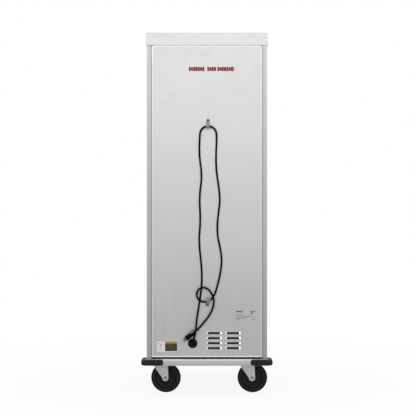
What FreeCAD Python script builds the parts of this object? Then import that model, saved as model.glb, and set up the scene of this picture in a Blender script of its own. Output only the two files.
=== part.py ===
"""Mobile blanket warming cabinet: a tall insulated steel cabinet on four casters.

Frame: millimetres, +Z up, origin on the floor under the middle of the cabinet.
The door faces -Y, the service panel with the mains cord faces +Y.
Left and right are those of a person who stands in front of the door, so left is -X.
"""
import FreeCAD, Part
import math
import os
import re
import Sketcher
from FreeCAD import Placement, Rotation, Vector

os.makedirs("parts", exist_ok=True)

SIZES = {
    # cabinet shell
    "body_width": 610,
    "body_depth": 700,
    "total_height": 1832,
    "sheet_metal": 1.5,
    "seam": 1,
    "cap_height": 62,
    "cap_overhang": 3.5,
    "cap_sheet": 2,
    "cap_edge_radius": 3,
    "base_bottom": 146,
    "base_height": 34,
    "base_overhang": 4,
    "base_sheet": 3,
    "base_corner_radius": 8,
    "base_bend_radius": 7,
    "post_width": 24,
    "post_depth": 25,
    "post_wall": 2,
    # rear service panel
    "panel_groove": 1,
    "panel_recess": 2,
    "panel_bevel": 7,
    "panel_gap": 8.5,
    "panel_flange": 15,
    "lip_height": 28,
    "lip_sheet": 2,
    "louvre_width": 61,
    "louvre_height": 12.7,
    "louvre_ramp": 9,
    "louvre_depth": 9,
    "louvre_slit": 3,
    "louvre_pitch": 25.4,
    "louvre_columns": 96.3,
    "louvre_middle": -84,
    "louvre_bottom": 229,
    # front frame and chamber
    "wall_thickness": 40,
    "frame_depth": 25,
    "frame_wall": 2,
    "chamber_floor": 372,
    "header_height": 40,
    "sill_height": 25,
    "rail_height": 44,
    "bay_jamb": 35,
    "frame_web": 10,
    "board_back": 27,
    "board_end_gap": 5,
    "board_floor": 35,
    "duct_margin": 6,
    "vent_width": 8,
    "vent_length": 80,
    "vent_pitch": 18,
    "vent_count": 6,
    "intake_inset": 100,
    # shelves
    "shelf_count": 3,
    "shelf_rim_rod": 8,
    "shelf_wire": 4,
    "shelf_wire_pitch": 24,
    "shelf_side_gap": 2,
    "shelf_front_gap": 20,
    "shelf_back_gap": 18,
    "pilaster_width": 14,
    "pilaster_thickness": 4,
    "pilaster_inset": 110,
    "pilaster_end_gap": 8,
    "clip_width": 12,
    "clip_height": 14,
    "clip_reach": 11,
    # door
    "door_gap": 5,
    "door_thickness": 40,
    "door_drop": 27,
    "door_top_gap": 5,
    "door_corner_radius": 3,
    "window_half_width": 195,
    "window_rail": 175,
    "pane_thickness": 5,
    "pane_setback": 4,
    "pane_clearance": 0.3,
    "gasket_width": 14,
    "gasket_overlap": 4,
    "soft_clearance": 0.3,
    "handle_projection": 45,
    "handle_radius": 8,
    "handle_length": 320,
    "handle_post_radius": 6.5,
    "handle_post_inset": 28,
    "handle_edge": 52,
    "handle_height": 1050,
    "rose_radius": 11,
    "rose_thickness": 3,
    "hinge_length": 90,
    "hinge_leaf": 3,
    "hinge_leaf_width": 23,
    "hinge_knuckle_radius": 5,
    "hinge_pin_radius": 2.5,
    "hinge_end_inset": 150,
    "knuckle_gap": 0.4,
    "running_clearance": 0.08,
    "magnet_width": 11,
    "magnet_length": 60,
    "magnet_thickness": 4.4,
    "magnet_gap": 3,
    # controls
    "fascia_sheet": 2,
    "fascia_foot": 5,
    "fascia_gap": 4,
    "control_height": 262,
    "dial_place": 190,
    "dial_radius": 25,
    "dial_height": 20,
    "dial_gap": 0.4,
    "dial_shaft_radius": 3,
    "dial_shaft_length": 14,
    "dial_edge": 1.5,
    "grip_radius": 4,
    "grip_count": 12,
    "pointer_width": 4,
    "pointer_height": 1.5,
    "thermostat_width": 52,
    "thermostat_depth": 34,
    "collar_radius": 8,
    "switch_place": -215,
    "switch_width": 22,
    "switch_length": 30,
    "switch_depth": 26,
    "switch_bezel": 3,
    "rocker_gap": 0.5,
    "rocker_proud": 4,
    "rocker_fall": 1.4,
    "rocker_pivot": 2,
    "pivot_radius": 1.5,
    "light_place": -150,
    "light_radius": 6,
    "light_flange": 9,
    "light_flange_height": 2,
    "light_stem": 20,
    "lens_height": 5,
    "display_width": 124,
    "display_height": 46,
    "display_bezel": 4,
    "display_depth": 22,
    "display_proud": 3,
    "display_window_depth": 1.5,
    "display_rim": 2,
    "bulb_radius": 4.5,
    "bulb_length": 120,
    "bulb_place": -200,
    "bulb_drop": 120,
    "bulb_standoff": 12,
    "bulb_bracket": 8,
    # blower and heater
    "blower_y": 190,
    "blower_radius": 58,
    "blower_width": 90,
    "blower_wall": 1.5,
    "blower_foot": 24,
    "inlet_radius": 34,
    "wheel_gap": 8,
    "rotor_gap": 10.5,
    "rotor_width": 62,
    "rotor_plate": 3,
    "blade_count": 12,
    "blade_thickness": 2,
    "blade_length": 15,
    "motor_radius": 34,
    "motor_length": 62,
    "motor_shaft_radius": 4,
    "motor_foot_inset": 12,
    "shaft_way_gap": 3,
    "heater_radius": 3.2,
    "heater_gap": 8.3,
    "heater_clearance": 10.8,
    "heater_pitch": 18,
    "heater_inset": 12,
    "heater_tail": 22,
    # mains inlet and hooks
    "gland_x": 72.2,
    "gland_z": 258.9,
    "gland_flange_radius": 24,
    "gland_flange": 5,
    "gland_dome_radius": 17,
    "gland_thread_radius": 12,
    "gland_nut_radius": 18,
    "gland_nut": 7,
    "gland_thread_end": 8,
    "gland_chamfer": 1.5,
    "hole_clearance": 0.2,
    "boot_root_radius": 11,
    "boot_tip_radius": 7,
    "boot_length": 20,
    "cord_diameter": 9.5,
    "hook_projection": 32,
    "hook_width": 18,
    "hook_length": 46,
    "hook_strap": 3,
    "hook_lip": 26,
    "plug_hook_length": 34,
    "plug_hook_lip": 12,
    "hook_screw_inset": 7.6,
    "screw_head_radius": 4.2,
    "screw_head": 2.4,
    "screw_radius": 2,
    "screw_length": 8,
    "upper_hook_x": -3.6,
    "upper_hook_z": 1350.3,
    "upper_hook_tilt": -3.5,
    "lower_hook_x": -10.7,
    "lower_hook_z": 492.2,
    "lower_hook_tilt": 167.5,
    "plug_hook_x": 79.5,
    "plug_hook_z": 324.9,
    "plug_hook_tilt": 216.9,
    # plug
    "plug_x": 62.9,
    "plug_z": 316.1,
    "plug_tilt": 126.9,
    "plug_offset": 15.6,
    "plug_lead": 16,
    "plug_neck_radius": 9,
    "plug_neck": 20,
    "plug_width": 26,
    "plug_depth": 24,
    "plug_head": 33,
    "plug_face_radius": 2.5,
    "plug_overlap": 4,
    "blade_gap": 12.7,
    "blade_high": 6.35,
    "blade_thick": 1.5,
    "blade_proud": 16,
    "blade_shift": 2,
    "ground_radius": 2.4,
    "ground_drop": 7,
    # bumpers
    "bumper_arm": 111,
    "bumper_proud": 24,
    "bumper_height": 29,
    "bumper_bottom": 148.7,
    "bumper_corner_radius": 26,
    "bumper_edge_radius": 9,
    # casters
    "wheel_diameter": 152.4,
    "wheel_width": 32,
    "tyre_thickness": 16,
    "tyre_shoulder": 6,
    "core_web": 14,
    "core_rim": 5,
    "core_rim_deep": 8,
    "core_boss_radius": 17,
    "core_boss_width": 36,
    "axle_radius": 5,
    "axle_head_radius": 6.2,
    "axle_head": 6,
    "fork_gap": 37,
    "fork_sheet": 3,
    "fork_lead": 40,
    "fork_trail": 50,
    "fork_tip_radius": 16,
    "crown_radius": 38,
    "crown_sheet": 4,
    "caster_trail": 28,
    "swivel_gap": 0.4,
    "raceway_radius": 30,
    "raceway_height": 7.6,
    "plate_sheet": 4,
    "plate_skin": 1.5,
    "plate_width": 100,
    "plate_depth": 80,
    "kingpin_radius": 6,
    "caster_inset": 78,
    "caster_side_inset": 87.4,
    "rear_caster_shift": 16.3,
    "rear_caster_swing": -7,
    "front_caster_swing": 0,
    "pedal_sheet": 3,
    "pedal_reach": 34,
    "pedal_pivot_radius": 4,
    "pedal_height": 128,
    "pedal_gap": 1,
    "pedal_setback": 6,
    "ear_height": 12,
    "shoe_drop": 16,
    "shoe_thickness": 6,
    # room that every cutter runs past the face it opens, and bite of one fused piece in another
    "overcut": 5,
    "bite": 1,
}

DOCUMENT = FreeCAD.newDocument("warming_cabinet")
SHEET = DOCUMENT.addObject("Spreadsheet::Sheet", "sizes")
WORD = re.compile(r"[A-Za-z_]\w*")
UP = Vector(0, 0, 1)

# Places that many pieces share, as formulas of the sheet.
REAR = (
    "((body_depth + door_gap + door_thickness + handle_projection"
    " + panel_recess - hook_projection) / 2)"
)
FRONT = f"({REAR} - body_depth)"
PANEL = f"({REAR} - panel_recess)"
SIDE = "(body_width / 2)"
DECK = "(base_bottom + base_height)"
SHELL_TOP = "(total_height - cap_sheet)"
CAP_BOTTOM = "(total_height - cap_height)"
FRAME_BACK = f"({FRONT} + frame_depth)"
CHAMBER_SIDE = "(body_width / 2 - wall_thickness)"
CHAMBER_BACK = f"({PANEL} - wall_thickness)"
DOOR_BACK = f"({FRONT} - door_gap)"
DOOR_FRONT = f"({FRONT} - door_gap - door_thickness)"
DOOR_TOP = f"({CAP_BOTTOM} - door_top_gap)"
DOOR_BOTTOM = "(chamber_floor - door_drop)"
CEILING = f"({CAP_BOTTOM} - header_height)"
BAY_OPENING = (f"({DECK} + sill_height)", "(chamber_floor - rail_height)")
FASCIA_FACE = f"({FRONT} - fascia_sheet)"
BEZEL_FACE = f"({FASCIA_FACE} - display_proud)"
PANEL_SIDE = "(body_width / 2 - post_width - panel_groove)"
WHEEL_RADIUS = "(wheel_diameter / 2)"
CROWN_TOP = f"({DECK} - base_sheet - plate_sheet - raceway_height - swivel_gap)"


def fill_sheet():
    """Writes each driving size to the sheet, one row each, with its alias."""
    for row, (alias, value) in enumerate(SIZES.items(), start=1):
        SHEET.set(f"A{row}", alias)
        SHEET.set(f"B{row}", str(value))
        SHEET.setAlias(f"B{row}", alias)
    DOCUMENT.recompute()


def size(alias):
    """The number in the sheet's cell of that alias."""
    return float(getattr(SHEET, alias))


def formula(text):
    """The text with each size name pointed at its cell in the sheet."""
    return WORD.sub(lambda m: "sizes." + m.group() if m.group() in SIZES else m.group(), text)


def bind(item, path, text):
    """Ties one property of an item to a formula of the sheet's sizes."""
    item.setExpression(path, formula(text))


def place(item, x="0", y="0", z="0"):
    """Ties the item's position to three formulas."""
    for axis, text in (("x", x), ("y", y), ("z", z)):
        bind(item, f"Placement.Base.{axis}", text)
    return item


def block(name, x, y, z):
    """A box between a low and a high formula on each axis."""
    item = DOCUMENT.addObject("Part::Box", name)
    for side, (low, high) in (("Length", x), ("Width", y), ("Height", z)):
        bind(item, side, f"({high}) - ({low})")
    return place(item, x[0], y[0], z[0])


def rod(name, axis, centre, ends, radius):
    """A cylinder along x, y or z. centre holds the other two places, in axis order."""
    item = DOCUMENT.addObject("Part::Cylinder", name)
    turns = {
        "x": Rotation(Vector(0, 1, 0), 90),
        "y": Rotation(Vector(1, 0, 0), -90),
        "z": Rotation(),
    }
    item.Placement = Placement(Vector(), turns[axis])
    bind(item, "Radius", radius)
    bind(item, "Height", f"({ends[1]}) - ({ends[0]})")
    spots = list(centre)
    spots.insert("xyz".index(axis), ends[0])
    return place(item, *spots)


def fuse(name, pieces):
    """One solid from pieces that overlap or share faces."""
    item = DOCUMENT.addObject("Part::MultiFuse", name)
    item.Shapes = pieces
    item.Refine = True
    return item


def group(name, pieces):
    """Separate solids under one name."""
    item = DOCUMENT.addObject("Part::Compound", name)
    item.Links = pieces
    return item


def cut(name, base, tools):
    """The base without the tools, which are joined first where there are several."""
    item = DOCUMENT.addObject("Part::Cut", name)
    item.Base = base
    item.Tool = tools[0] if len(tools) == 1 else fuse(name + "_tools", tools)
    item.Refine = True
    return item


def body(name):
    """An empty PartDesign body."""
    return DOCUMENT.addObject("PartDesign::Body", name)


def sketch(owner, role, offset="0"):
    """A sketch on one of the body's own origin planes, moved along the plane's normal."""
    item = owner.newObject("Sketcher::SketchObject", owner.Name + "_sketch")
    plane = next(f for f in owner.Origin.OriginFeatures if f.Role == role)
    item.AttachmentSupport = [(plane, "")]
    item.MapMode = "FlatFace"
    bind(item, "AttachmentOffset.Base.z", offset)
    return item


def hold_point(item, geometry, end, x, y, guess):
    """Dimensions that hold one end of a sketch line at two formulas."""
    for kind, text, value in (("DistanceX", x, guess[0]), ("DistanceY", y, guess[1])):
        index = item.addConstraint(Sketcher.Constraint(kind, -1, 1, geometry, end, value))
        bind(item, f"Constraints[{index}]", text)


def polygon(item, points):
    """A closed outline whose corners are held at formulas, in order round the outline."""
    first = item.GeometryCount
    count = len(points)
    spots = []
    for index in range(count):
        angle = 2 * math.pi * index / count
        spots.append((40 + 30 * math.cos(angle), 40 + 30 * math.sin(angle)))
    for index in range(count):
        start, end = spots[index], spots[(index + 1) % count]
        item.addGeometry(Part.LineSegment(Vector(*start, 0), Vector(*end, 0)), False)
    for index in range(count):
        following = first + (index + 1) % count
        item.addConstraint(Sketcher.Constraint("Coincident", first + index, 2, following, 1))
    for index, (x, y) in enumerate(points):
        hold_point(item, first + index, 1, x, y, spots[index])
    return item


def rectangle(item, x, y):
    """A closed rectangle between a low and a high formula each way."""
    return polygon(item, [(x[0], y[0]), (x[1], y[0]), (x[1], y[1]), (x[0], y[1])])


def circle(item, x, y, radius):
    """A circle with its centre and radius held at formulas."""
    index = item.addGeometry(Part.Circle(Vector(20, 20, 0), UP, 5), False)
    hold_point(item, index, 3, x, y, (20.0, 20.0))
    tie = item.addConstraint(Sketcher.Constraint("Radius", index, 5.0))
    bind(item, f"Constraints[{tie}]", radius)
    return item


def pad(owner, profile, length, middle=False, backwards=False):
    """Material along the sketch's normal, about its plane or to one side."""
    item = owner.newObject("PartDesign::Pad", owner.Name + "_pad")
    item.Profile = profile
    bind(item, "Length", length)
    item.Midplane = middle
    item.Reversed = backwards
    owner.Tip = item
    return item


def pocket(owner, profile, length, along=False, middle=False):
    """A cut against the sketch's normal, along it, or to both sides."""
    item = owner.newObject("PartDesign::Pocket", owner.Name + "_pocket")
    item.Profile = profile
    bind(item, "Length", length)
    item.Reversed = along
    item.Midplane = middle
    owner.Tip = item
    return item


def turned(owner, profile, axis="V_Axis"):
    """A full revolution of the sketch about one of its own axes."""
    item = owner.newObject("PartDesign::Revolution", owner.Name + "_turned")
    item.Profile = profile
    item.ReferenceAxis = (profile, [axis])
    item.Angle = 360
    owner.Tip = item
    return item


def edges_where(feature, wanted):
    """Names of the feature's edges for which wanted(edge) is true."""
    DOCUMENT.recompute()
    edges = enumerate(feature.Shape.Edges, start=1)
    return [f"Edge{index}" for index, edge in edges if wanted(edge)]


def runs_along(edge, direction):
    """Whether an edge is a straight one along the direction."""
    if not isinstance(edge.Curve, (Part.Line, Part.LineSegment)):
        return False
    return abs(edge.tangentAt(edge.FirstParameter).dot(direction)) > 0.999


def dress(owner, kind, wanted, path, amount):
    """A fillet or chamfer on the edges of the body's last feature that are wanted."""
    base = owner.Tip
    names = edges_where(base, wanted)
    item = owner.newObject(kind, owner.Name + "_edge")
    item.Base = (base, names)
    bind(item, path, amount)
    owner.Tip = item
    return item


def fillet(owner, wanted, radius):
    """Rounds the wanted edges of the body's last feature."""
    return dress(owner, "PartDesign::Fillet", wanted, "Radius", radius)


def chamfer(owner, wanted, amount):
    """Bevels the wanted edges of the body's last feature."""
    return dress(owner, "PartDesign::Chamfer", wanted, "Size", amount)


def pattern(owner, original, count, axis="Z_Axis"):
    """Copies of a feature evenly round one of the body's own origin axes."""
    item = owner.newObject("PartDesign::PolarPattern", owner.Name + "_pattern")
    item.Originals = [original]
    line = next(f for f in owner.Origin.OriginFeatures if f.Role == axis)
    item.Axis = (line, [""])
    item.Angle = 360
    bind(item, "Occurrences", count)
    owner.Tip = item
    return item


def spread(half):
    """The low and high formulas of something centred on zero."""
    return (f"-({half})", f"{half}")


def around(middle, width):
    """The low and high formulas of something of that width about a middle."""
    return (f"{middle} - ({width}) / 2", f"{middle} + ({width}) / 2")


# ---------------------------------------------------------------- shell


def base_frame():
    """Pressed pan under the cabinet: deck, turned-down skirt and a lip for the rear panel."""
    pan = body("base_frame")
    edge = f"{SIDE} + base_overhang"
    low, high = f"{FRONT} - base_overhang", f"{REAR} + base_overhang"
    outline = sketch(pan, "XY_Plane", "base_bottom")
    pad(pan, rectangle(outline, spread(edge), (low, high)), "base_height")
    fillet(pan, lambda e: runs_along(e, UP), "base_corner_radius")
    top = size("base_bottom") + size("base_height")
    fillet(pan, lambda e: e.BoundBox.ZMin > top - 0.1, "min(base_bend_radius; 2.4 * base_sheet)")
    inner = sketch(pan, "XY_Plane", "base_bottom")
    rectangle(
        inner,
        spread(f"{edge} - base_sheet"),
        (f"{low} + base_sheet", f"{high} - base_sheet"),
    )
    pocket(pan, inner, "base_height - base_sheet", along=True)
    lip = sketch(pan, "XY_Plane", f"{DECK} - base_sheet / 2")
    rear = f"{PANEL} - panel_flange"
    rectangle(lip, spread(f"{PANEL_SIDE} - panel_flange"), (f"{rear} - lip_sheet", rear))
    pad(pan, lip, "lip_height + base_sheet / 2")
    return pan


def corner_post(name, side):
    """Square-section rear corner post. side is -1 on the left and 1 on the right."""
    outer = (f"{SIDE} - post_width", SIDE)
    inner = (f"{SIDE} - post_width + post_wall", f"{SIDE} - post_wall")
    if side < 0:
        outer = (f"-{SIDE}", f"-{SIDE} + post_width")
        inner = (f"-{SIDE} + post_wall", f"-{SIDE} + post_width - post_wall")
    tube = block(name + "_tube", outer, (f"{REAR} - post_depth", REAR), (DECK, SHELL_TOP))
    hollow = block(
        name + "_hollow",
        inner,
        (f"{REAR} - post_depth + post_wall", f"{REAR} - post_wall"),
        (f"{DECK} - 1", f"{SHELL_TOP} + 1"),
    )
    return cut(name, tube, [hollow])


def top_cap():
    """Lid pan that slips over the top of the shell."""
    cap = body("top_cap")
    edge = f"{SIDE} + cap_overhang"
    low, high = f"{FRONT} - cap_overhang", f"{REAR} + cap_overhang"
    outline = sketch(cap, "XY_Plane", CAP_BOTTOM)
    pad(cap, rectangle(outline, spread(edge), (low, high)), "cap_height")
    fillet(cap, lambda e: runs_along(e, UP), "cap_edge_radius")
    top = size("total_height")
    fillet(cap, lambda e: e.BoundBox.ZMin > top - 0.1, "min(cap_edge_radius; 1.6 * cap_sheet)")
    inner = sketch(cap, "XY_Plane", CAP_BOTTOM)
    rectangle(
        inner,
        spread(f"{edge} - cap_sheet"),
        (f"{low} + cap_sheet", f"{high} - cap_sheet"),
    )
    pocket(cap, inner, "cap_height - cap_sheet", along=True)
    return cap


def bevelled_slab(name, inset, spill):
    """Panel outline with bevelled edges, inset from its skin. spill runs it out at top and back."""
    slab = body(name)
    outline = sketch(slab, "XZ_Plane", f"{inset} - {PANEL}")
    bottom, top = f"{DECK} + panel_gap + {inset}", f"{SHELL_TOP} + {spill}"
    rectangle(outline, spread(f"{PANEL_SIDE} - {inset}"), (bottom, top))
    pad(slab, outline, f"panel_flange - {inset} + {spill}")
    face, high = size_of(f"{PANEL} - {inset}"), size_of(top)
    chamfer(
        slab,
        lambda e: e.BoundBox.YMin > face - 0.01 and e.BoundBox.ZMin < high - 0.1,
        f"panel_bevel - (2 - sqrt(2)) * {inset}",
    )
    return slab


def panel_pan():
    """Rear panel before its louvres: a pan with bevelled edges and flanges turned inwards."""
    outer = bevelled_slab("panel_outside", "0", "0")
    inner = bevelled_slab("panel_inside", "sheet_metal", "overcut")
    return cut("panel_pan", outer, [inner])


def louvre_wedge(name, x, z, wall):
    """Pressed pocket that deepens downwards, with ramped ends. wall grows it to its outside."""
    item = DOCUMENT.addObject("Part::Wedge", name)
    half = f"(louvre_width / 2 + {wall})"
    sizes = {
        "Xmin": f"-{half}",
        "Xmax": half,
        "Zmin": "0",
        "Zmax": f"louvre_slit + {wall}",
        "X2min": f"-{half} - louvre_ramp",
        "X2max": f"{half} + louvre_ramp",
        "Z2min": "0",
        "Z2max": f"louvre_height + {wall}",
        "Ymin": "0",
        "Ymax": f"louvre_depth + {wall}",
    }
    for path, text in sizes.items():
        bind(item, path, text)
    return place(item, x, f"{PANEL} - louvre_depth - {wall}", z)


def rear_panel():
    """Service panel with two columns of four louvres, the inlet hole and the screw holes."""
    pockets, covers = [], []
    for column in range(2):
        x = f"louvre_middle + ({column} - 0.5) * louvre_columns"
        for row in range(4):
            z = f"louvre_bottom + {row} * louvre_pitch"
            name = f"louvre_{column}_{row}"
            covers.append(louvre_wedge(name + "_cover", x, z, "sheet_metal"))
            pockets.append(louvre_wedge(name + "_pocket", x, z, "0"))
    pressed = fuse("panel_pressed", [panel_pan()] + covers)
    through = (f"{PANEL} - 20", f"{PANEL} + overcut")
    inlet = rod(
        "inlet_hole", "y", ("gland_x", "gland_z"), through, "gland_thread_radius + hole_clearance"
    )
    holes = []
    for hook in HOOKS:
        holes.append(on_hook(rod(
            f"{hook}_panel_hole",
            "y",
            ("0", f"{HOOK_SIZES[hook][1]} - hook_screw_inset"),
            ("-20", "5"),
            "screw_radius + hole_clearance",
        ), hook))
    return cut("rear_panel", pressed, pockets + [inlet] + holes)


def side_panel(name, side):
    """Flat outer side sheet between the front frame and the rear post."""
    x = (f"{SIDE} - sheet_metal", SIDE)
    if side < 0:
        x = (f"-{SIDE}", f"-{SIDE} + sheet_metal")
    y = (f"{FRAME_BACK} + seam", f"{REAR} - post_depth - seam")
    return block(name, x, y, (DECK, SHELL_TOP))


def front_frame():
    """Folded face frame: jambs, header, middle rail and sill round two openings."""
    depth = (FRONT, FRAME_BACK)
    through = (f"{FRONT} - overcut", f"{FRAME_BACK} + overcut")
    slab = block("frame_slab", spread(SIDE), depth, (DECK, SHELL_TOP))
    chamber = block(
        "frame_chamber", spread(CHAMBER_SIDE), through, ("chamber_floor", CEILING)
    )
    bay_side = f"{SIDE} - bay_jamb"
    bay = block("frame_bay", spread(bay_side), through, BAY_OPENING)
    hollow = (f"{FRONT} + frame_wall", f"{FRAME_BACK} + overcut")
    inside = f"({SIDE} - frame_wall)"
    tools = [chamber, bay]
    low, high = f"{DECK} + frame_wall", f"{SHELL_TOP} - frame_wall"
    for name, z in (
        ("header", (f"{CEILING} + frame_wall", high)),
        ("rail", (f"{BAY_OPENING[1]} + frame_wall", "chamber_floor - frame_wall")),
        ("sill", (low, f"{BAY_OPENING[0]} - frame_wall")),
    ):
        tools.append(block(f"frame_{name}_hollow", spread(f"{CHAMBER_SIDE} - frame_web"), hollow, z))
    for name, near, far in (
        ("left", f"-{inside}", f"-({CHAMBER_SIDE} + frame_wall)"),
        ("right", f"{CHAMBER_SIDE} + frame_wall", inside),
    ):
        tools.append(block(f"frame_{name}_hollow", (near, far), hollow, (low, high)))
    return cut("front_frame", slab, tools)


# ---------------------------------------------------------------- chamber


def liner_sheets():
    """The five sheets of the warming chamber."""
    floor = "(chamber_floor - sheet_metal)"
    ceiling = f"({CEILING} + sheet_metal)"
    height = (floor, ceiling)
    depth = (FRAME_BACK, f"{CHAMBER_BACK} + sheet_metal")
    inside = (FRAME_BACK, CHAMBER_BACK)
    across = spread(CHAMBER_SIDE)
    left = (f"-{CHAMBER_SIDE} - sheet_metal", f"-{CHAMBER_SIDE}")
    right = (CHAMBER_SIDE, f"{CHAMBER_SIDE} + sheet_metal")
    back = (CHAMBER_BACK, f"{CHAMBER_BACK} + sheet_metal")
    sheets = [
        block("liner_left", left, depth, height),
        block("liner_right", right, depth, height),
        block("liner_back", across, back, height),
        block("liner_top", across, inside, (CEILING, ceiling)),
    ]
    floor_sheet = block("liner_floor_sheet", across, inside, (floor, "chamber_floor"))
    slots = []
    for row, y in (("supply", "blower_y"), ("intake", f"{FRAME_BACK} + intake_inset")):
        for index in range(int(size("vent_count"))):
            x = f"({index} - (vent_count - 1) / 2) * vent_pitch"
            slots.append(block(
                f"{row}_slot_{index}",
                around(x, "vent_width"),
                around(y, "vent_length"),
                (f"{floor} - overcut", "chamber_floor + overcut"),
            ))
    sheets.append(cut("liner_floor", floor_sheet, slots))
    return sheets


def insulation_boards():
    """Boards between the liner and the shell, each against the liner."""
    top = (f"{SHELL_TOP} - {CAP_INSIDE}")
    low = "chamber_floor - sheet_metal"
    skin = f"({CHAMBER_SIDE} + sheet_metal)"
    side_end = f"{REAR} - post_depth - board_end_gap"
    back = f"{CHAMBER_BACK} + sheet_metal"
    wall = (skin, f"{SIDE} - sheet_metal")
    mirror_wall = (f"-{SIDE} + sheet_metal", f"-{skin}")
    boards = [
        block("board_left", mirror_wall, (FRAME_BACK, side_end), (low, top)),
        block("board_right", wall, (FRAME_BACK, side_end), (low, top)),
        block("board_back", spread(CHAMBER_SIDE), (back, f"{back} + board_back"), (low, top)),
        block(
            "board_top",
            spread(CHAMBER_SIDE),
            (FRAME_BACK, back),
            (f"{CEILING} + sheet_metal", top),
        ),
    ]
    floor = block(
        "board_floor_slab",
        spread(CHAMBER_SIDE),
        (FRAME_BACK, back),
        (f"{low} - board_floor", low),
    )
    holes = []
    for row, y in (("supply", "blower_y"), ("intake", f"{FRAME_BACK} + intake_inset")):
        holes.append(block(
            f"{row}_duct",
            spread("vent_count * vent_pitch / 2 + duct_margin"),
            around(y, "blower_width + 2 * duct_margin"),
            (f"{low} - board_floor - overcut", f"{low} + overcut"),
        ))
    boards.append(cut("board_floor", floor, holes))
    return group("insulation_boards", boards)


CAP_INSIDE = "(cap_height - cap_sheet)"
TIER = f"(({CEILING} - chamber_floor) / (shelf_count + 1))"
PILASTER_PLACES = (f"{FRAME_BACK} + pilaster_inset", f"{CHAMBER_BACK} - pilaster_inset")


def shelf_pilasters():
    """Four upright strips on the chamber's sides that the clips hook into."""
    strips = []
    height = ("chamber_floor + pilaster_end_gap", f"{CEILING} - pilaster_end_gap")
    near = f"({CHAMBER_SIDE} - pilaster_thickness)"
    for index, y in enumerate(PILASTER_PLACES):
        depth = around(y, "pilaster_width")
        strips.append(block(f"strip_left_{index}", (f"-{CHAMBER_SIDE}", f"-{near}"), depth, height))
        strips.append(block(f"strip_right_{index}", (near, CHAMBER_SIDE), depth, height))
    return group("shelf_pilasters", strips)


def shelf_level(index):
    """Height of the seat of shelf number index, counted from 1 at the bottom."""
    return f"(chamber_floor + {index} * {TIER})"


def shelf_clips():
    """Small brackets on the pilasters, four under each shelf."""
    clips = []
    far = f"({CHAMBER_SIDE} - pilaster_thickness)"
    near = f"({far} - clip_reach)"
    for shelf in range(1, int(size("shelf_count")) + 1):
        level = shelf_level(shelf)
        for index, y in enumerate(PILASTER_PLACES):
            for side, x in (("left", (f"-{far}", f"-{near}")), ("right", (near, far))):
                clips.append(block(
                    f"clip_{shelf}_{side}_{index}",
                    x,
                    around(y, "clip_width"),
                    (f"{level} - clip_height", level),
                ))
    return group("shelf_clips", clips)


def wire_shelf(index):
    """Welded wire shelf: a rim of rod, two cross rods and wires from front to back."""
    name = f"wire_shelf_{index}"
    radius = "shelf_rim_rod / 2"
    level = f"({shelf_level(index)} + {radius})"
    half = f"({CHAMBER_SIDE} - pilaster_thickness - shelf_side_gap - {radius})"
    front = f"({FRAME_BACK} + shelf_front_gap)"
    back = f"({CHAMBER_BACK} - shelf_back_gap)"
    pieces = []
    for end, y in (("front", front), ("back", back)):
        pieces.append(rod(f"{name}_{end}_rod", "x", (y, level), spread(half), radius))
    for side, x in (("left", f"-{half}"), ("right", half)):
        pieces.append(rod(f"{name}_{side}_rod", "y", (x, level), (front, back), radius))
        for end, y in (("front", front), ("back", back)):
            pieces.append(ball(f"{name}_{side}_{end}", x, y, level, radius))
    wires = int(2 * size_of(half) / size("shelf_wire_pitch"))
    wires -= 1 - wires % 2
    lift = f"({level} + {radius} - shelf_wire / 2)"
    for wire in range(wires):
        x = f"({wire} - {(wires - 1) // 2}) * shelf_wire_pitch"
        pieces.append(rod(f"{name}_wire_{wire}", "y", (x, lift), (front, back), "shelf_wire / 2"))
    under = f"({lift} - shelf_wire * 0.8)"
    for stay in range(2):
        y = f"({front} + ({back} - {front}) * {stay + 1} / 3)"
        pieces.append(rod(f"{name}_stay_{stay}", "x", (y, under), spread(half), "shelf_wire / 2"))
    return fuse(name, pieces)


def ball(name, x, y, z, radius):
    """A ball, for a bent rod's corner."""
    item = DOCUMENT.addObject("Part::Sphere", name)
    bind(item, "Radius", radius)
    return place(item, x, y, z)


# ---------------------------------------------------------------- blower and heater


HEATER_Z = "(chamber_floor - sheet_metal - board_floor - heater_gap - heater_radius)"
BLOWER_Z = f"({HEATER_Z} - heater_radius - heater_clearance - blower_radius)"
ROTOR_RADIUS = "(blower_radius - blower_wall - rotor_gap)"

def blower_housing():
    """Sheet scroll on a foot, with a neck up to the chamber floor."""
    ends = around("blower_y", "blower_width")
    inner_ends = around("blower_y", "blower_width - 2 * blower_wall")
    neck_top = "chamber_floor - sheet_metal"
    inside = "(blower_radius - blower_wall)"
    neck = spread("blower_radius")
    foot_top = f"{BLOWER_Z} - blower_radius + 4 * bite"
    outer = fuse("blower_outer", [
        rod("scroll_outer", "y", ("0", BLOWER_Z), ends, "blower_radius"),
        block("neck_outer", neck, ends, (BLOWER_Z, neck_top)),
        block("blower_stand", spread("blower_foot"), ends, (DECK, foot_top)),
    ])
    shaft_way = (f"{ends[1]} - overcut", f"{ends[1]} + overcut")
    tools = [
        rod("scroll_inner", "y", ("0", BLOWER_Z), inner_ends, inside),
        block("neck_inner", spread(inside), inner_ends, (BLOWER_Z, f"{neck_top} + overcut")),
        rod("inlet", "y", ("0", BLOWER_Z), (f"{ends[0]} - overcut", "blower_y"), "inlet_radius"),
        rod("shaft_way", "y", ("0", BLOWER_Z), shaft_way, "motor_shaft_radius + shaft_way_gap"),
    ]
    for index in (0, 3):
        y = f"(blower_y + ({index} - 1.5) * heater_pitch)"
        tools.append(rod(
            f"heater_hole_{index}",
            "x",
            (y, HEATER_Z),
            ("blower_radius - overcut", "blower_radius + overcut"),
            "heater_radius + hole_clearance",
        ))
    return cut("blower_housing", outer, tools)


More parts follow.
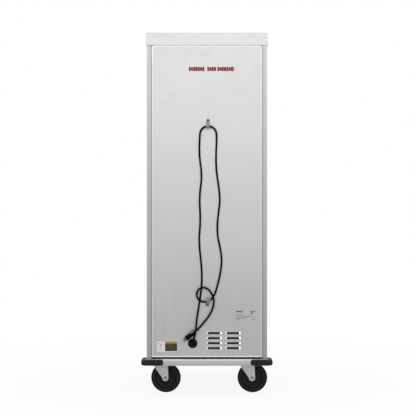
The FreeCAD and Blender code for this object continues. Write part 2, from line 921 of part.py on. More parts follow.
def blower_motor():
    """Motor can behind the scroll, bored for the rotor's shaft, with a foot on the deck."""
    start = "(blower_y + blower_width / 2)"
    can = rod(
        "motor_can", "y", ("0", BLOWER_Z), (start, f"{start} + motor_length"), "motor_radius"
    )
    foot = block(
        "motor_foot",
        spread("motor_radius * 0.7"),
        (f"{start} + motor_foot_inset", f"{start} + motor_length - motor_foot_inset"),
        (DECK, f"{BLOWER_Z} - motor_radius * 0.8"),
    )
    bore = rod(
        "motor_bore",
        "y",
        ("0", BLOWER_Z),
        (f"{start} - overcut", f"{start} + motor_length * 0.6"),
        "motor_shaft_radius + running_clearance",
    )
    return cut("blower_motor", fuse("motor_solid", [can, foot]), [bore])


def blower_wheel():
    """Rotor: back plate, twelve blades and the shaft that runs in the motor. Its axis is +Y."""
    wheel = body("blower_wheel")
    outline = sketch(wheel, "XY_Plane")
    pad(wheel, circle(outline, "0", "0", ROTOR_RADIUS), "rotor_plate")
    vane = sketch(wheel, "XY_Plane", "rotor_plate / 2")
    rectangle(
        vane,
        (f"{ROTOR_RADIUS} - blade_length", f"{ROTOR_RADIUS} - bite"),
        around("0", "blade_thickness"),
    )
    blade = pad(wheel, vane, "rotor_width - rotor_plate / 2")
    DOCUMENT.recompute()
    pattern(wheel, blade, "blade_count")
    shaft = sketch(wheel, "XY_Plane", "rotor_plate / 2")
    circle(shaft, "0", "0", "motor_shaft_radius")
    reach = "rotor_plate / 2 + wheel_gap + blower_wall + motor_length * 0.5"
    pad(wheel, shaft, reach, backwards=True)
    wheel.Placement = Placement(Vector(), Rotation(Vector(1, 0, 0), 90))
    back = "blower_y + blower_width / 2 - blower_wall - wheel_gap"
    return place(wheel, "0", back, BLOWER_Z)


def heating_element():
    """Sheathed rod bent into four legs across the neck, its two ends out through the wall."""
    radius, pitch = size("heater_radius"), size("heater_pitch")
    height, turn = size_of(HEATER_Z), pitch / 2
    reach = size("blower_radius") - size("heater_inset") - turn
    tail = size("blower_radius") + size("heater_tail")
    stops = (tail, -reach, reach, -reach, tail)
    first = size("blower_y") - 1.5 * pitch
    edges = []
    for leg, (start, end) in enumerate(zip(stops, stops[1:])):
        y = first + leg * pitch
        edges.append(Part.LineSegment(Vector(start, y, height), Vector(end, y, height)))
        if leg < len(stops) - 2:
            bulge = end + math.copysign(turn, end)
            edges.append(Part.Arc(
                Vector(end, y, height),
                Vector(bulge, y + turn, height),
                Vector(end, y + pitch, height),
            ))
    path = Part.Wire([edge.toShape() for edge in edges])
    start = Vector(tail, first, height)
    section = Part.Wire([Part.Circle(start, Vector(1, 0, 0), radius).toShape()])
    item = DOCUMENT.addObject("Part::Feature", "heating_element")
    item.Shape = path.makePipeShell([section], True, False)
    return item


# ---------------------------------------------------------------- controls


def control_fascia():
    """Plate over the machine bay with openings for the controls."""
    plate = block(
        "fascia_plate",
        spread(f"{SIDE} - seam"),
        (FASCIA_FACE, FRONT),
        (f"{DECK} + fascia_foot", f"{DOOR_BOTTOM} - fascia_gap"),
    )
    through = (f"{FASCIA_FACE} - overcut", f"{FRONT} + overcut")
    height = "control_height"
    tools = [
        rod("dial_hole", "y", ("dial_place", height), through, "collar_radius + hole_clearance"),
        rod("light_hole", "y", ("light_place", height), through, "light_radius + hole_clearance"),
        block(
            "switch_hole",
            around("switch_place", "switch_width + 2 * hole_clearance"),
            through,
            around(height, "switch_length + 2 * hole_clearance"),
        ),
        block(
            "display_hole",
            spread("display_width / 2 + hole_clearance"),
            through,
            around(height, "display_height + 2 * hole_clearance"),
        ),
    ]
    return cut("control_fascia", plate, tools)


def thermostat_body():
    """Thermostat behind the fascia, with a collar through it that carries the dial's shaft."""
    spot = ("dial_place", "control_height")
    case = block(
        "thermostat_case",
        around("dial_place", "thermostat_width"),
        (FRONT, f"{FRONT} + thermostat_depth"),
        around("control_height", "thermostat_width"),
    )
    collar = rod("thermostat_collar", "y", spot, (FASCIA_FACE, f"{FRONT} + bite"), "collar_radius")
    bore = rod(
        "thermostat_bore",
        "y",
        spot,
        (f"{FASCIA_FACE} - overcut", f"{FASCIA_FACE} + dial_shaft_length + 2 * bite"),
        "dial_shaft_radius + running_clearance",
    )
    return cut("thermostat_body", fuse("thermostat_solid", [case, collar]), [bore])


def thermostat_dial():
    """Round knob with twelve grip scallops, a pointer ridge and its shaft. Its axis is -Y."""
    knob = body("thermostat_dial")
    disc = sketch(knob, "XY_Plane")
    pad(knob, circle(disc, "0", "0", "dial_radius"), "dial_height")
    high = size("dial_height")
    chamfer(knob, lambda e: e.BoundBox.ZMin > high - 0.1, "dial_edge")
    scallop = sketch(knob, "XY_Plane", "dial_height")
    circle(scallop, "dial_radius + grip_radius / 2", "0", "grip_radius")
    grip = pocket(knob, scallop, "dial_height * 0.7")
    DOCUMENT.recompute()
    pattern(knob, grip, "grip_count")
    ridge = sketch(knob, "XY_Plane", "dial_height - bite")
    rectangle(ridge, around("0", "pointer_width"), ("0", "dial_radius - pointer_width"))
    pad(knob, ridge, "bite + pointer_height")
    stem = sketch(knob, "XY_Plane", "bite")
    circle(stem, "0", "0", "dial_shaft_radius")
    pad(knob, stem, "bite + dial_gap + dial_shaft_length", backwards=True)
    knob.Placement = Placement(Vector(), Rotation(Vector(1, 0, 0), 90))
    return place(knob, "dial_place", f"{FASCIA_FACE} - dial_gap", "control_height")


def switch_body():
    """Snap-in switch case: a bezel on the fascia, a well for the rocker and two pivot studs."""
    middle = "control_height"
    bezel = block(
        "switch_bezel_block",
        around("switch_place", "switch_width + 2 * switch_bezel"),
        (f"{FASCIA_FACE} - switch_bezel", FASCIA_FACE),
        around(middle, "switch_length + 2 * switch_bezel"),
    )
    case = block(
        "switch_case",
        around("switch_place", "switch_width"),
        (f"{FASCIA_FACE} - bite", f"{FASCIA_FACE} + switch_depth"),
        around(middle, "switch_length"),
    )
    well = block(
        "switch_well",
        around("switch_place", "switch_width - 2 * switch_bezel"),
        (f"{FASCIA_FACE} - switch_bezel - overcut", f"{FASCIA_FACE} + switch_depth * 0.5"),
        around(middle, "switch_length - switch_bezel"),
    )
    hollow = cut("switch_hollow", fuse("switch_solid", [bezel, case]), [well])
    pivot = rod(
        "switch_pivot",
        "x",
        (f"{FASCIA_FACE} + rocker_pivot", middle),
        around("switch_place", "switch_width - switch_bezel"),
        "pivot_radius",
    )
    return fuse("switch_body", [hollow, pivot])


def rocker_switch():
    """Rocker on the switch's pivot: two faces at a slight angle, bored for the pin."""
    key = body("rocker_switch")
    side = sketch(key, "YZ_Plane")
    half = "(switch_length / 2 - switch_bezel / 2 - 2 * rocker_gap)"
    face = "-(switch_bezel + rocker_pivot + rocker_proud)"
    heel = "(2 * rocker_pivot)"
    polygon(side, [
        (f"{face} - rocker_fall", half),
        (face, "0"),
        (f"{face} - rocker_fall", f"-{half}"),
        ("-rocker_pivot", f"-{half}"),
        (heel, f"-{heel}"),
        (heel, heel),
        ("-rocker_pivot", half),
    ])
    pad(key, side, "switch_width - 2 * switch_bezel - 2 * rocker_gap", middle=True)
    bore = sketch(key, "YZ_Plane")
    circle(bore, "0", "0", "pivot_radius + running_clearance")
    pocket(key, bore, "switch_width * 2", middle=True)
    return place(key, "switch_place", f"{FASCIA_FACE} + rocker_pivot", "control_height")


def pilot_light():
    """Round lens with a flange on the fascia and a stem through it. Its axis is -Y."""
    lamp = body("pilot_light")
    side = sketch(lamp, "XZ_Plane")
    polygon(side, [
        ("0", "-light_stem"),
        ("light_radius", "-light_stem"),
        ("light_radius", "0"),
        ("light_flange", "0"),
        ("light_flange", "light_flange_height"),
        ("light_radius - 0.5", "light_flange_height"),
        ("light_radius - 2", "light_flange_height + 0.8 * lens_height"),
        ("0", "light_flange_height + lens_height"),
    ])
    turned(lamp, side)
    lamp.Placement = Placement(Vector(), Rotation(Vector(1, 0, 0), 90))
    return place(lamp, "light_place", FASCIA_FACE, "control_height")


def temperature_display():
    """Digital display: bezel on the fascia, recessed window and case behind."""
    middle = "control_height"
    bezel = block(
        "display_bezel_block",
        spread("display_width / 2 + display_bezel"),
        (BEZEL_FACE, FASCIA_FACE),
        around(middle, "display_height + 2 * display_bezel"),
    )
    case = block(
        "display_case",
        spread("display_width / 2"),
        (f"{FASCIA_FACE} - bite", f"{FASCIA_FACE} + display_depth"),
        around(middle, "display_height"),
    )
    window = block(
        "display_window",
        spread("display_width / 2 - display_rim"),
        (f"{BEZEL_FACE} - overcut", f"{BEZEL_FACE} + display_window_depth"),
        around(middle, "display_height - 2 * display_rim"),
    )
    return cut("temperature_display", fuse("display_solid", [bezel, case]), [window])


def thermostat_bulb():
    """Sensing bulb in the chamber on two stand-off brackets from the back sheet."""
    y = f"({CHAMBER_BACK} - bulb_standoff)"
    top = f"({CEILING} - bulb_drop)"
    ends = (f"{top} - bulb_length", top)
    pieces = [rod("bulb_rod", "z", ("bulb_place", y), ends, "bulb_radius")]
    for index in range(2):
        z = f"({top} - bulb_length * {2 * index + 1} / 4)"
        pieces.append(block(
            f"bulb_bracket_{index}",
            around("bulb_place", "bulb_radius * 2 + bulb_bracket / 2"),
            (f"{y} - bite", CHAMBER_BACK),
            around(z, "bulb_bracket"),
        ))
    return fuse("thermostat_bulb", pieces)


# ---------------------------------------------------------------- door


WINDOW = (f"({DOOR_BOTTOM} + window_rail)", f"({DOOR_TOP} - window_rail)")


def door_skin():
    """Outer door pan, open at the back, with a sleeve round the window."""
    outer = body("door_slab")
    face = sketch(outer, "XZ_Plane", f"-{DOOR_BACK}")
    pad(outer, rectangle(face, spread(SIDE), (DOOR_BOTTOM, DOOR_TOP)), "door_thickness")
    front = size_of(DOOR_FRONT)
    fillet(outer, lambda e: e.BoundBox.YMax < front + 0.1, "door_corner_radius")
    inner = block(
        "door_cavity_full",
        spread(f"{SIDE} - sheet_metal"),
        (f"{DOOR_FRONT} + sheet_metal", f"{DOOR_BACK} + overcut"),
        (f"{DOOR_BOTTOM} + sheet_metal", f"{DOOR_TOP} - sheet_metal"),
    )
    sleeve = block(
        "door_sleeve",
        spread("window_half_width + sheet_metal"),
        (f"{DOOR_FRONT} - overcut", f"{DOOR_BACK} + overcut"),
        (f"{WINDOW[0]} - sheet_metal", f"{WINDOW[1]} + sheet_metal"),
    )
    cavity = cut("door_cavity", inner, [sleeve])
    window = block(
        "door_window",
        spread("window_half_width"),
        (f"{DOOR_FRONT} - overcut", f"{DOOR_BACK} + overcut"),
        WINDOW,
    )
    return cut("door_skin", outer, [cavity, window])


def door_ring(name, depth, inset, window_grow):
    """A flat ring inside the door pan, inset from its edge and round the window."""
    outer = block(
        name + "_slab",
        spread(f"{SIDE} - {inset}"),
        depth,
        (f"{DOOR_BOTTOM} + {inset}", f"{DOOR_TOP} - {inset}"),
    )
    hole = block(
        name + "_hole",
        spread(f"window_half_width + {window_grow}"),
        (f"{depth[0]} - overcut", f"{depth[1]} + overcut"),
        (f"{WINDOW[0]} - {window_grow}", f"{WINDOW[1]} + {window_grow}"),
    )
    return cut(name, outer, [hole])


def door_panes():
    """Two panes of glass in the window's sleeve."""
    across = spread("window_half_width - pane_clearance")
    height = (f"{WINDOW[0]} + pane_clearance", f"{WINDOW[1]} - pane_clearance")
    front = f"({DOOR_FRONT} + pane_setback)"
    back = f"({DOOR_BACK} - pane_setback)"
    outer = block("pane_outer", across, (front, f"{front} + pane_thickness"), height)
    inner = block("pane_inner", across, (f"{back} - pane_thickness", back), height)
    return group("door_panes", [outer, inner])


def door_gasket():
    """Soft seal on the door's back, just clear of the frame."""
    depth = (DOOR_BACK, f"{FRONT} - soft_clearance")
    inner = f"({CHAMBER_SIDE} + gasket_overlap)"
    low, high = "(chamber_floor - gasket_overlap)", f"({CEILING} + gasket_overlap)"
    outer = block(
        "gasket_slab",
        spread(f"{inner} + gasket_width"),
        depth,
        (f"{low} - gasket_width", f"{high} + gasket_width"),
    )
    hole = block(
        "gasket_hole",
        spread(inner),
        (f"{DOOR_BACK} - overcut", f"{FRONT} + overcut"),
        (low, high),
    )
    return cut("door_gasket", outer, [hole])


def door_handle():
    """Tubular pull on two posts with round feet, near the door's free edge."""
    x = f"(-{SIDE} + handle_edge)"
    axis = f"({DOOR_FRONT} - handle_projection + handle_radius)"
    low, high = "(handle_height - handle_length / 2)", "(handle_height + handle_length / 2)"
    pieces = [rod("handle_bar", "z", (x, axis), (low, high), "handle_radius")]
    for index, z in enumerate((f"({low} + handle_post_inset)", f"({high} - handle_post_inset)")):
        pieces.append(rod(
            f"handle_post_{index}", "y", (x, z), (axis, DOOR_FRONT), "handle_post_radius"
        ))
        foot = (f"{DOOR_FRONT} - rose_thickness", DOOR_FRONT)
        pieces.append(rod(f"handle_foot_{index}", "y", (x, z), foot, "rose_radius"))
    return fuse("door_handle", pieces)


HINGE_X = f"({SIDE} + hinge_knuckle_radius)"
HINGE_Y = f"({FRONT} - door_gap / 2)"


def hinge_levels():
    """Heights of the lower ends of the three hinges."""
    low = f"({DOOR_BOTTOM} + hinge_end_inset)"
    high = f"({DOOR_TOP} - hinge_end_inset - hinge_length)"
    return [low, f"(({low} + {high}) / 2)", high]


def hinge_leaf(name, depth, low, knuckles):
    """A leaf flat on the cabinet's or the door's side with knuckles at its inner edge."""
    plate = block(
        name + "_plate",
        (SIDE, f"{SIDE} + hinge_leaf"),
        depth,
        (low, f"{low} + hinge_length"),
    )
    pieces = [plate]
    spot = (HINGE_X, HINGE_Y)
    for index, ends in enumerate(knuckles):
        pieces.append(rod(f"{name}_knuckle_{index}", "z", spot, ends, "hinge_knuckle_radius"))
    return fuse(name + "_solid", pieces)


def knuckle_notch(name, ends):
    """The room that a leaf leaves round the other leaf's knuckle."""
    return rod(name, "z", (HINGE_X, HINGE_Y), ends, "hinge_knuckle_radius + knuckle_gap")


def frame_hinge_leaves():
    """Three cabinet-side leaves, each with two knuckles, and the three pins."""
    pieces = []
    depth = (HINGE_Y, f"{HINGE_Y} + hinge_leaf_width")
    for index, low in enumerate(hinge_levels()):
        name = f"frame_leaf_{index}"
        third = "(hinge_length / 3)"
        lower = (low, f"{low} + {third}")
        upper = (f"{low} + 2 * {third}", f"{low} + hinge_length")
        solid = hinge_leaf(name, depth, low, [lower, upper])
        bore = rod(
            f"{name}_bore",
            "z",
            (HINGE_X, HINGE_Y),
            (f"{low} - overcut", f"{low} + hinge_length + overcut"),
            "hinge_pin_radius",
        )
        notch = knuckle_notch(f"{name}_notch", (lower[1], upper[0]))
        pieces.append(cut(name, solid, [fuse(f"{name}_clear", [bore, notch])]))
        pieces.append(rod(
            f"hinge_pin_{index}",
            "z",
            (HINGE_X, HINGE_Y),
            (low, f"{low} + hinge_length"),
            "hinge_pin_radius",
        ))
    return group("frame_hinge_leaves", pieces)


def door_hinge_leaves():
    """Three door-side leaves, each with one middle knuckle that turns on the pin."""
    pieces = []
    depth = (f"{HINGE_Y} - hinge_leaf_width", HINGE_Y)
    for index, low in enumerate(hinge_levels()):
        name = f"door_leaf_{index}"
        third = "(hinge_length / 3)"
        middle = (f"{low} + {third} + knuckle_gap", f"{low} + 2 * {third} - knuckle_gap")
        solid = hinge_leaf(name, depth, low, [middle])
        bore = rod(
            f"{name}_bore",
            "z",
            (HINGE_X, HINGE_Y),
            (f"{low} - overcut", f"{low} + hinge_length + overcut"),
            "hinge_pin_radius + running_clearance",
        )
        lower = knuckle_notch(f"{name}_lower", (f"{low} - overcut", middle[0]))
        upper = knuckle_notch(f"{name}_upper", (middle[1], f"{low} + hinge_length + overcut"))
        pieces.append(cut(name, solid, [fuse(f"{name}_clear", [bore, lower, upper])]))
    return group("door_hinge_leaves", pieces)


def catch_magnets():
    """Two magnets on the frame's left jamb that hold the door."""
    inner = f"({CHAMBER_SIDE} + gasket_overlap + gasket_width + magnet_gap)"
    x = (f"-({inner} + magnet_width)", f"-{inner}")
    y = (f"{FRONT} - magnet_thickness", FRONT)
    pieces = []
    for index, side in enumerate((-1, 1)):
        z = f"(handle_height + {side} * handle_length)"
        pieces.append(block(f"magnet_{index}", x, y, around(z, "magnet_length")))
    return group("catch_magnets", pieces)


# ---------------------------------------------------------------- cord, hooks and plug


HOOKS = ("cord_hook_upper", "cord_hook_lower", "plug_hook")
HOOK_SIZES = {
    "cord_hook_upper": ("upper_hook", "hook_length", "hook_lip"),
    "cord_hook_lower": ("lower_hook", "hook_length", "hook_lip"),
    "plug_hook": ("plug_hook", "plug_hook_length", "plug_hook_lip"),
}


def on_hook(item, name):
    """Moves an item drawn about a hook's own foot to that hook's place and tilt."""
    key = HOOK_SIZES[name][0]
    anchor = DOCUMENT.addObject("Part::Compound", item.Name + "_placed")
    anchor.Links = [item]
    anchor.Placement = Placement(Vector(), Rotation(Vector(0, 1, 0), size(f"{key}_tilt")))
    return place(anchor, f"{key}_x", PANEL, f"{key}_z")


def cord_hook(name):
    """J strap: a plate on the panel, a shelf outwards and a lip, with one screw hole."""
    key, length, lip = HOOK_SIZES[name]
    strap = body(name)
    side = sketch(strap, "YZ_Plane")
    polygon(side, [
        ("0", "0"),
        ("hook_projection", "0"),
        ("hook_projection", lip),
        ("hook_projection - hook_strap", lip),
        ("hook_projection - hook_strap", "hook_strap"),
        ("hook_strap", "hook_strap"),
        ("hook_strap", length),
        ("0", length),
    ])
    pad(strap, side, "hook_width", middle=True)
    inner, far = size("hook_strap"), size("hook_projection")
    across = Vector(1, 0, 0)

    def at_bend(edge, low):
        """Whether an edge across the strap is one of the two outer or inner bends."""
        if not runs_along(edge, across) or abs(edge.BoundBox.ZMin - low) > 0.1:
            return False
        return edge.BoundBox.YMin < inner + 0.1 or edge.BoundBox.YMin > far - inner - 0.1

    fillet(strap, lambda e: at_bend(e, inner), "hook_strap * 0.8")
    fillet(strap, lambda e: at_bend(e, 0), "hook_strap * 1.8")
    hole = sketch(strap, "XZ_Plane")
    circle(hole, "0", f"{length} - hook_screw_inset", "screw_radius + hole_clearance")
    pocket(strap, hole, "hook_strap * 4", middle=True)
    strap.Placement = Placement(Vector(), Rotation(Vector(0, 1, 0), size(f"{key}_tilt")))
    return place(strap, f"{key}_x", PANEL, f"{key}_z")


def hook_screws():
    """One pan-head screw through each hook into the panel."""
    placed = []
    for hook in HOOKS:
        spot = ("0", f"{HOOK_SIZES[hook][1]} - hook_screw_inset")
        head = rod(
            f"{hook}_screw_head",
            "y",
            spot,
            ("hook_strap", "hook_strap + screw_head"),
            "screw_head_radius",
        )
        ends = ("hook_strap - screw_length", "hook_strap + bite")
        shank = rod(f"{hook}_screw_shank", "y", spot, ends, "screw_radius")
        placed.append(on_hook(fuse(f"{hook}_screw", [head, shank]), hook))
    return group("hook_screws", placed)


def off_panel(x, off, z):
    """A point of the cord, from its distance off the rear panel."""
    return Vector(x, size_of(PANEL) + off, z)


# The mains cord from its gland to its plug: x, distance off the panel, z.
CORD_ROUTE = (
    (64.6, 25.5, 288.0),
    (59.4, 31.5, 312.0),
    (55.2, 31.0, 341.0),
    (52.4, 21.5, 374.0),
    (46.5, 12.5, 414.0),
    (38.5, 8.4, 462.0),
    (31.0, 7.4, 512.0),
    (26.0, 7.2, 566.0),
    (25.6, 7.5, 622.0),
    (31.0, 8.0, 684.0),
    (37.5, 8.3, 742.0),
    (39.5, 8.2, 798.0),
    (34.0, 7.7, 858.0),
    (33.8, 7.4, 914.0),
    (37.2, 7.6, 972.0),
    (35.0, 8.0, 1030.0),
    (27.5, 8.2, 1086.0),
    (28.5, 8.0, 1140.0),
    (37.0, 7.8, 1196.0),
    (38.6, 8.2, 1250.0),
    (36.6, 9.8, 1296.0),
    (35.5, 11.8, 1328.9),
    (24.3, 13.4, 1348.4),
    (4.8, 14.0, 1359.6),
    (-17.8, 14.0, 1359.6),
    (-37.3, 13.2, 1348.4),
    (-48.5, 11.4, 1328.9),
    (-49.6, 9.4, 1290.0),
    (-46.6, 8.2, 1236.0),
    (-45.6, 7.8, 1176.0),
    (-49.5, 8.0, 1118.0),
    (-60.5, 8.4, 1050.0),
    (-66.5, 8.2, 988.0),
    (-60.0, 7.8, 930.0),
    (-52.5, 7.6, 868.0),
    (-53.0, 8.0, 806.0),
    (-65.0, 8.4, 752.0),
    (-75.5, 8.6, 694.0),
    (-72.5, 8.6, 640.0),
    (-62.0, 8.8, 586.0),
    (-49.5, 9.0, 540.0),
    (-39.5, 9.2, 506.0),
    (-22.5, 9.4, 481.5),
    (3.5, 12.0, 468.0),
    (31.0, 19.0, 472.5),
    (49.5, 23.5, 491.0),
    (52.5, 25.0, 517.0),
    (38.8, 24.7, 538.3),
    (15.0, 24.4, 545.0),
    (-6.5, 24.0, 535.2),
    (-20.5, 23.7, 518.5),
    (-31.0, 23.5, 498.5),
    (-35.8, 22.5, 474.0),
    (-32.5, 20.0, 447.5),
    (-22.0, 18.0, 419.5),
    (-5.0, 16.5, 391.0),
    (16.5, 15.7, 365.0),
    (35.0, 15.4, 343.0),
)
BEND_SHARE = 0.45


def cord_points():
    """The cord's route from the gland's boot to the plug's neck."""
    neck, along = plug_axis()
    points = [boot_axis()[0]]
    points += [off_panel(*spot) for spot in CORD_ROUTE]
    return points + [neck - along * size("plug_lead"), neck]


def tube_path(points):
    """Straight runs joined by tangent arcs, and the radius of each arc."""
    edges, radii = [], []
    cursor = points[0]
    for before, corner, after in zip(points, points[1:], points[2:]):
        back, ahead = before - corner, after - corner
        turn = math.pi - back.getAngle(ahead)
        trim = BEND_SHARE * min(back.Length, ahead.Length)
        radii.append(trim / math.tan(turn / 2))
        start = corner + back * (trim / back.Length)
        end = corner + ahead * (trim / ahead.Length)
        inward = (back.normalize() + ahead.normalize()).normalize()
        sag = radii[-1] / math.cos(turn / 2) - radii[-1]
        edges.append(Part.LineSegment(cursor, start).toShape())
        edges.append(Part.Arc(start, corner + inward * sag, end).toShape())
        cursor = end
    edges.append(Part.LineSegment(cursor, points[-1]).toShape())
    return Part.Wire(edges), radii


def power_cord():
    """The cord as a plain tube along its route."""
    points = cord_points()
    path, radii = tube_path(points)
    radius = size("cord_diameter") / 2
    section = Part.Wire([Part.Circle(points[0], points[1] - points[0], radius).toShape()])
    item = DOCUMENT.addObject("Part::Feature", "power_cord")
    item.Shape = path.makePipeShell([section], True, False)
    expected = math.pi * radius**2 * path.Length
    print("cord length", round(path.Length, 1), "volume ratio", item.Shape.Volume / expected)
    print("cord radii", [round(value) for value in radii])
    return item


def boot_axis():
    """The end of the gland's boot, where the cord comes out, and the way it points."""
    first = off_panel(*CORD_ROUTE[0])
    root = off_panel(size("gland_x"), size("gland_dome_radius") / 2, size("gland_z"))
    way = (first - root).normalize()
    return root + way * size("boot_length"), way


def cord_gland():
    """Flanged dome with a tapered boot that turns the cord upwards, and a nut inside."""
    turned_part = body("gland_body")
    side = sketch(turned_part, "XZ_Plane")
    dome = "gland_dome_radius"
    polygon(side, [
        ("0", "-(gland_nut + gland_thread_end)"),
        ("gland_thread_radius", "-(gland_nut + gland_thread_end)"),
        ("gland_thread_radius", "0"),
        ("gland_flange_radius", "0"),
        ("gland_flange_radius", "gland_flange - gland_chamfer"),
        ("gland_flange_radius - gland_chamfer", "gland_flange"),
        (f"{dome} + 2 * bite", "gland_flange"),
        (f"{dome} + bite", f"{dome} * 0.75"),
        (f"{dome} * 0.85", f"{dome} * 1.15"),
        (f"{dome} * 0.5", f"{dome} * 1.45"),
        ("0", f"{dome} * 1.55"),
    ])
    turned(turned_part, side)
    turned_part.Placement = Placement(Vector(), Rotation(Vector(1, 0, 0), -90))
    place(turned_part, "gland_x", PANEL, "gland_z")
    end, way = boot_axis()
    boot = DOCUMENT.addObject("Part::Cone", "gland_boot")
    bind(boot, "Radius1", "boot_root_radius")
    bind(boot, "Radius2", "boot_tip_radius")
    bind(boot, "Height", "boot_length")
    boot.Placement = Placement(end - way * size("boot_length"), Rotation(UP, way))
    back = f"{PANEL} - sheet_metal"
    nut = rod(
        "gland_nut_solid",
        "y",
        ("gland_x", "gland_z"),
        (f"{back} - gland_nut", back),
        "gland_nut_radius",
    )
    return fuse("cord_gland", [turned_part, boot, nut])


def plug_axis():
    """The plug's neck end, where its cord goes in, and the way its blades point."""
    tilt = math.radians(size("plug_tilt"))
    way = Vector(math.sin(tilt), 0, math.cos(tilt))
    return off_panel(size("plug_x"), size("plug_offset"), size("plug_z")), way


def plug_placed(item):
    """Moves an item drawn along +Z to the plug's place and axis."""
    neck, way = plug_axis()
    item.Placement = Placement(neck, Rotation(UP, way))
    return item


def plug_body():
    """Moulded plug: a round neck that widens into a squarish head with a flat face."""
    moulding = body("plug_body")
    neck = sketch(moulding, "XY_Plane")
    circle(neck, "0", "0", "plug_neck_radius")
    waist = sketch(moulding, "XY_Plane", "plug_neck")
    circle(waist, "0", "0", "plug_depth / 2")
    loft = moulding.newObject("PartDesign::AdditiveLoft", "plug_loft")
    loft.Profile = neck
    loft.Sections = [waist]
    loft.Ruled = True
    moulding.Tip = loft
    head = sketch(moulding, "XY_Plane", "plug_neck - plug_overlap")
    rectangle(head, spread("plug_width / 2"), spread("plug_depth / 2"))
    pad(moulding, head, "plug_head + plug_overlap")
    ahead = size("plug_neck") + size("plug_head")
    fillet(
        moulding,
        lambda e: runs_along(e, UP) and e.Length > 20 or e.BoundBox.ZMin > ahead - 0.1,
        "plug_face_radius",
    )
    return plug_placed(moulding)


def plug_blades():
    """Two flat blades and a round ground pin, let into the plug's face."""
    face = "(plug_neck + plug_head)"
    ends = (f"{face}", f"{face} + blade_proud")
    pieces = []
    for name, side in (("left", -1), ("right", 1)):
        y = f"({side} * blade_gap / 2)"
        pieces.append(block(
            f"blade_{name}", around("-blade_shift", "blade_high"), around(y, "blade_thick"), ends
        ))
    pieces.append(rod("ground_pin", "z", ("ground_drop", "0"), ends, "ground_radius"))
    return plug_placed(group("plug_blades", pieces))


# ---------------------------------------------------------------- bumpers and casters


def upright_at(edge, x, y):
    """Whether an edge is an upright one at that x and y."""
    box = edge.BoundBox
    return runs_along(edge, UP) and abs(box.XMin - x) < 0.1 and abs(box.YMin - y) < 0.1


def outer_rim(edge, proud):
    """Whether an edge is a level one that touches a bumper's outer faces."""
    box = edge.BoundBox
    return box.ZLength < 0.01 and max(box.XMax, box.YMax) > proud - 0.01


def corner_bumpers():
    """Four L-shaped bumpers round the corners of the base pan."""
    pieces = []
    proud = size("bumper_proud")
    tail = proud - size("bumper_arm")
    edge_x = f"({SIDE} + base_overhang)"
    front, back = f"({FRONT} - base_overhang)", f"({REAR} + base_overhang)"
    corners = (
        (edge_x, back, 0),
        (f"-{edge_x}", back, 90),
        (f"-{edge_x}", front, 180),
        (edge_x, front, 270),
    )
    for index, (x, y, angle) in enumerate(corners):
        piece = body(f"bumper_{index}")
        outline = sketch(piece, "XY_Plane")
        polygon(outline, [
            ("bumper_proud", "bumper_proud"),
            ("bumper_proud - bumper_arm", "bumper_proud"),
            ("bumper_proud - bumper_arm", "0"),
            ("0", "0"),
            ("0", "bumper_proud - bumper_arm"),
            ("bumper_proud", "bumper_proud - bumper_arm"),
        ])
        pad(piece, outline, "bumper_height")
        fillet(piece, lambda e: upright_at(e, proud, proud), "bumper_corner_radius")
        fillet(
            piece,
            lambda e: upright_at(e, proud, tail) or upright_at(e, tail, proud),
            "bumper_proud * 0.6",
        )
        fillet(piece, lambda e: outer_rim(e, proud), "bumper_edge_radius")
        piece.Placement = Placement(Vector(), Rotation(UP, angle))
        place(piece, x, y, "bumper_bottom")
        pieces.append(piece)
    return group("corner_bumpers", pieces)


REAR_AXIS = f"{REAR} + base_overhang - caster_inset"
FRONT_AXIS = f"{FRONT} - base_overhang + caster_inset"
SIDE_AXIS = f"({SIDE} + base_overhang - caster_side_inset)"
# Each swivel axis in x and y, the turn of its plate from +X, and the fork's swing past that.
CASTERS = {
    "rear_right": (f"rear_caster_shift + {SIDE_AXIS}", REAR_AXIS, 180, "rear_caster_swing"),
    "rear_left": (f"rear_caster_shift - {SIDE_AXIS}", REAR_AXIS, 180, "rear_caster_swing"),
    "front_right": (SIDE_AXIS, FRONT_AXIS, 90, "front_caster_swing"),
    "front_left": (f"-{SIDE_AXIS}", FRONT_AXIS, 90, "front_caster_swing"),
}
BRAKED = ("front_left", "front_right")
PEDAL_X = "(crown_radius + pedal_pivot_radius + pedal_setback)"


def stand(item, name, swivels=True):
    """Turns an item drawn about its swivel axis, trailing along +X, to that caster's place."""
    x, y, turn, swing = CASTERS[name]
    if swivels:
        turn += size(swing)
    item.Placement = Placement(Vector(), Rotation(UP, turn))
    return place(item, x, y, "0")


def caster_plates():
    """Four mounting plates under the base pan, each with its raceway cup."""
    pieces = []
    top = f"{DECK} - base_sheet"
    for name in CASTERS:
        plate = block(
            f"plate_{name}_sheet",
            spread("plate_width / 2"),
            spread("plate_depth / 2"),
            (f"{top} - plate_sheet", top),
        )
        cup = rod(
            f"plate_{name}_cup",
            "z",
            ("0", "0"),
            (f"{top} - plate_sheet - raceway_height", f"{top} - plate_sheet / 2"),
            "raceway_radius",
        )
        bore = rod(
            f"plate_{name}_bore",
            "z",
            ("0", "0"),
            (f"{top} - plate_sheet - raceway_height - overcut", f"{top} - plate_skin"),
            "kingpin_radius + running_clearance",
        )
        solid = cut(f"plate_{name}", fuse(f"plate_{name}_solid", [plate, cup]), [bore])
        pieces.append(stand(solid, name, swivels=False))
    return group("caster_plates", pieces)


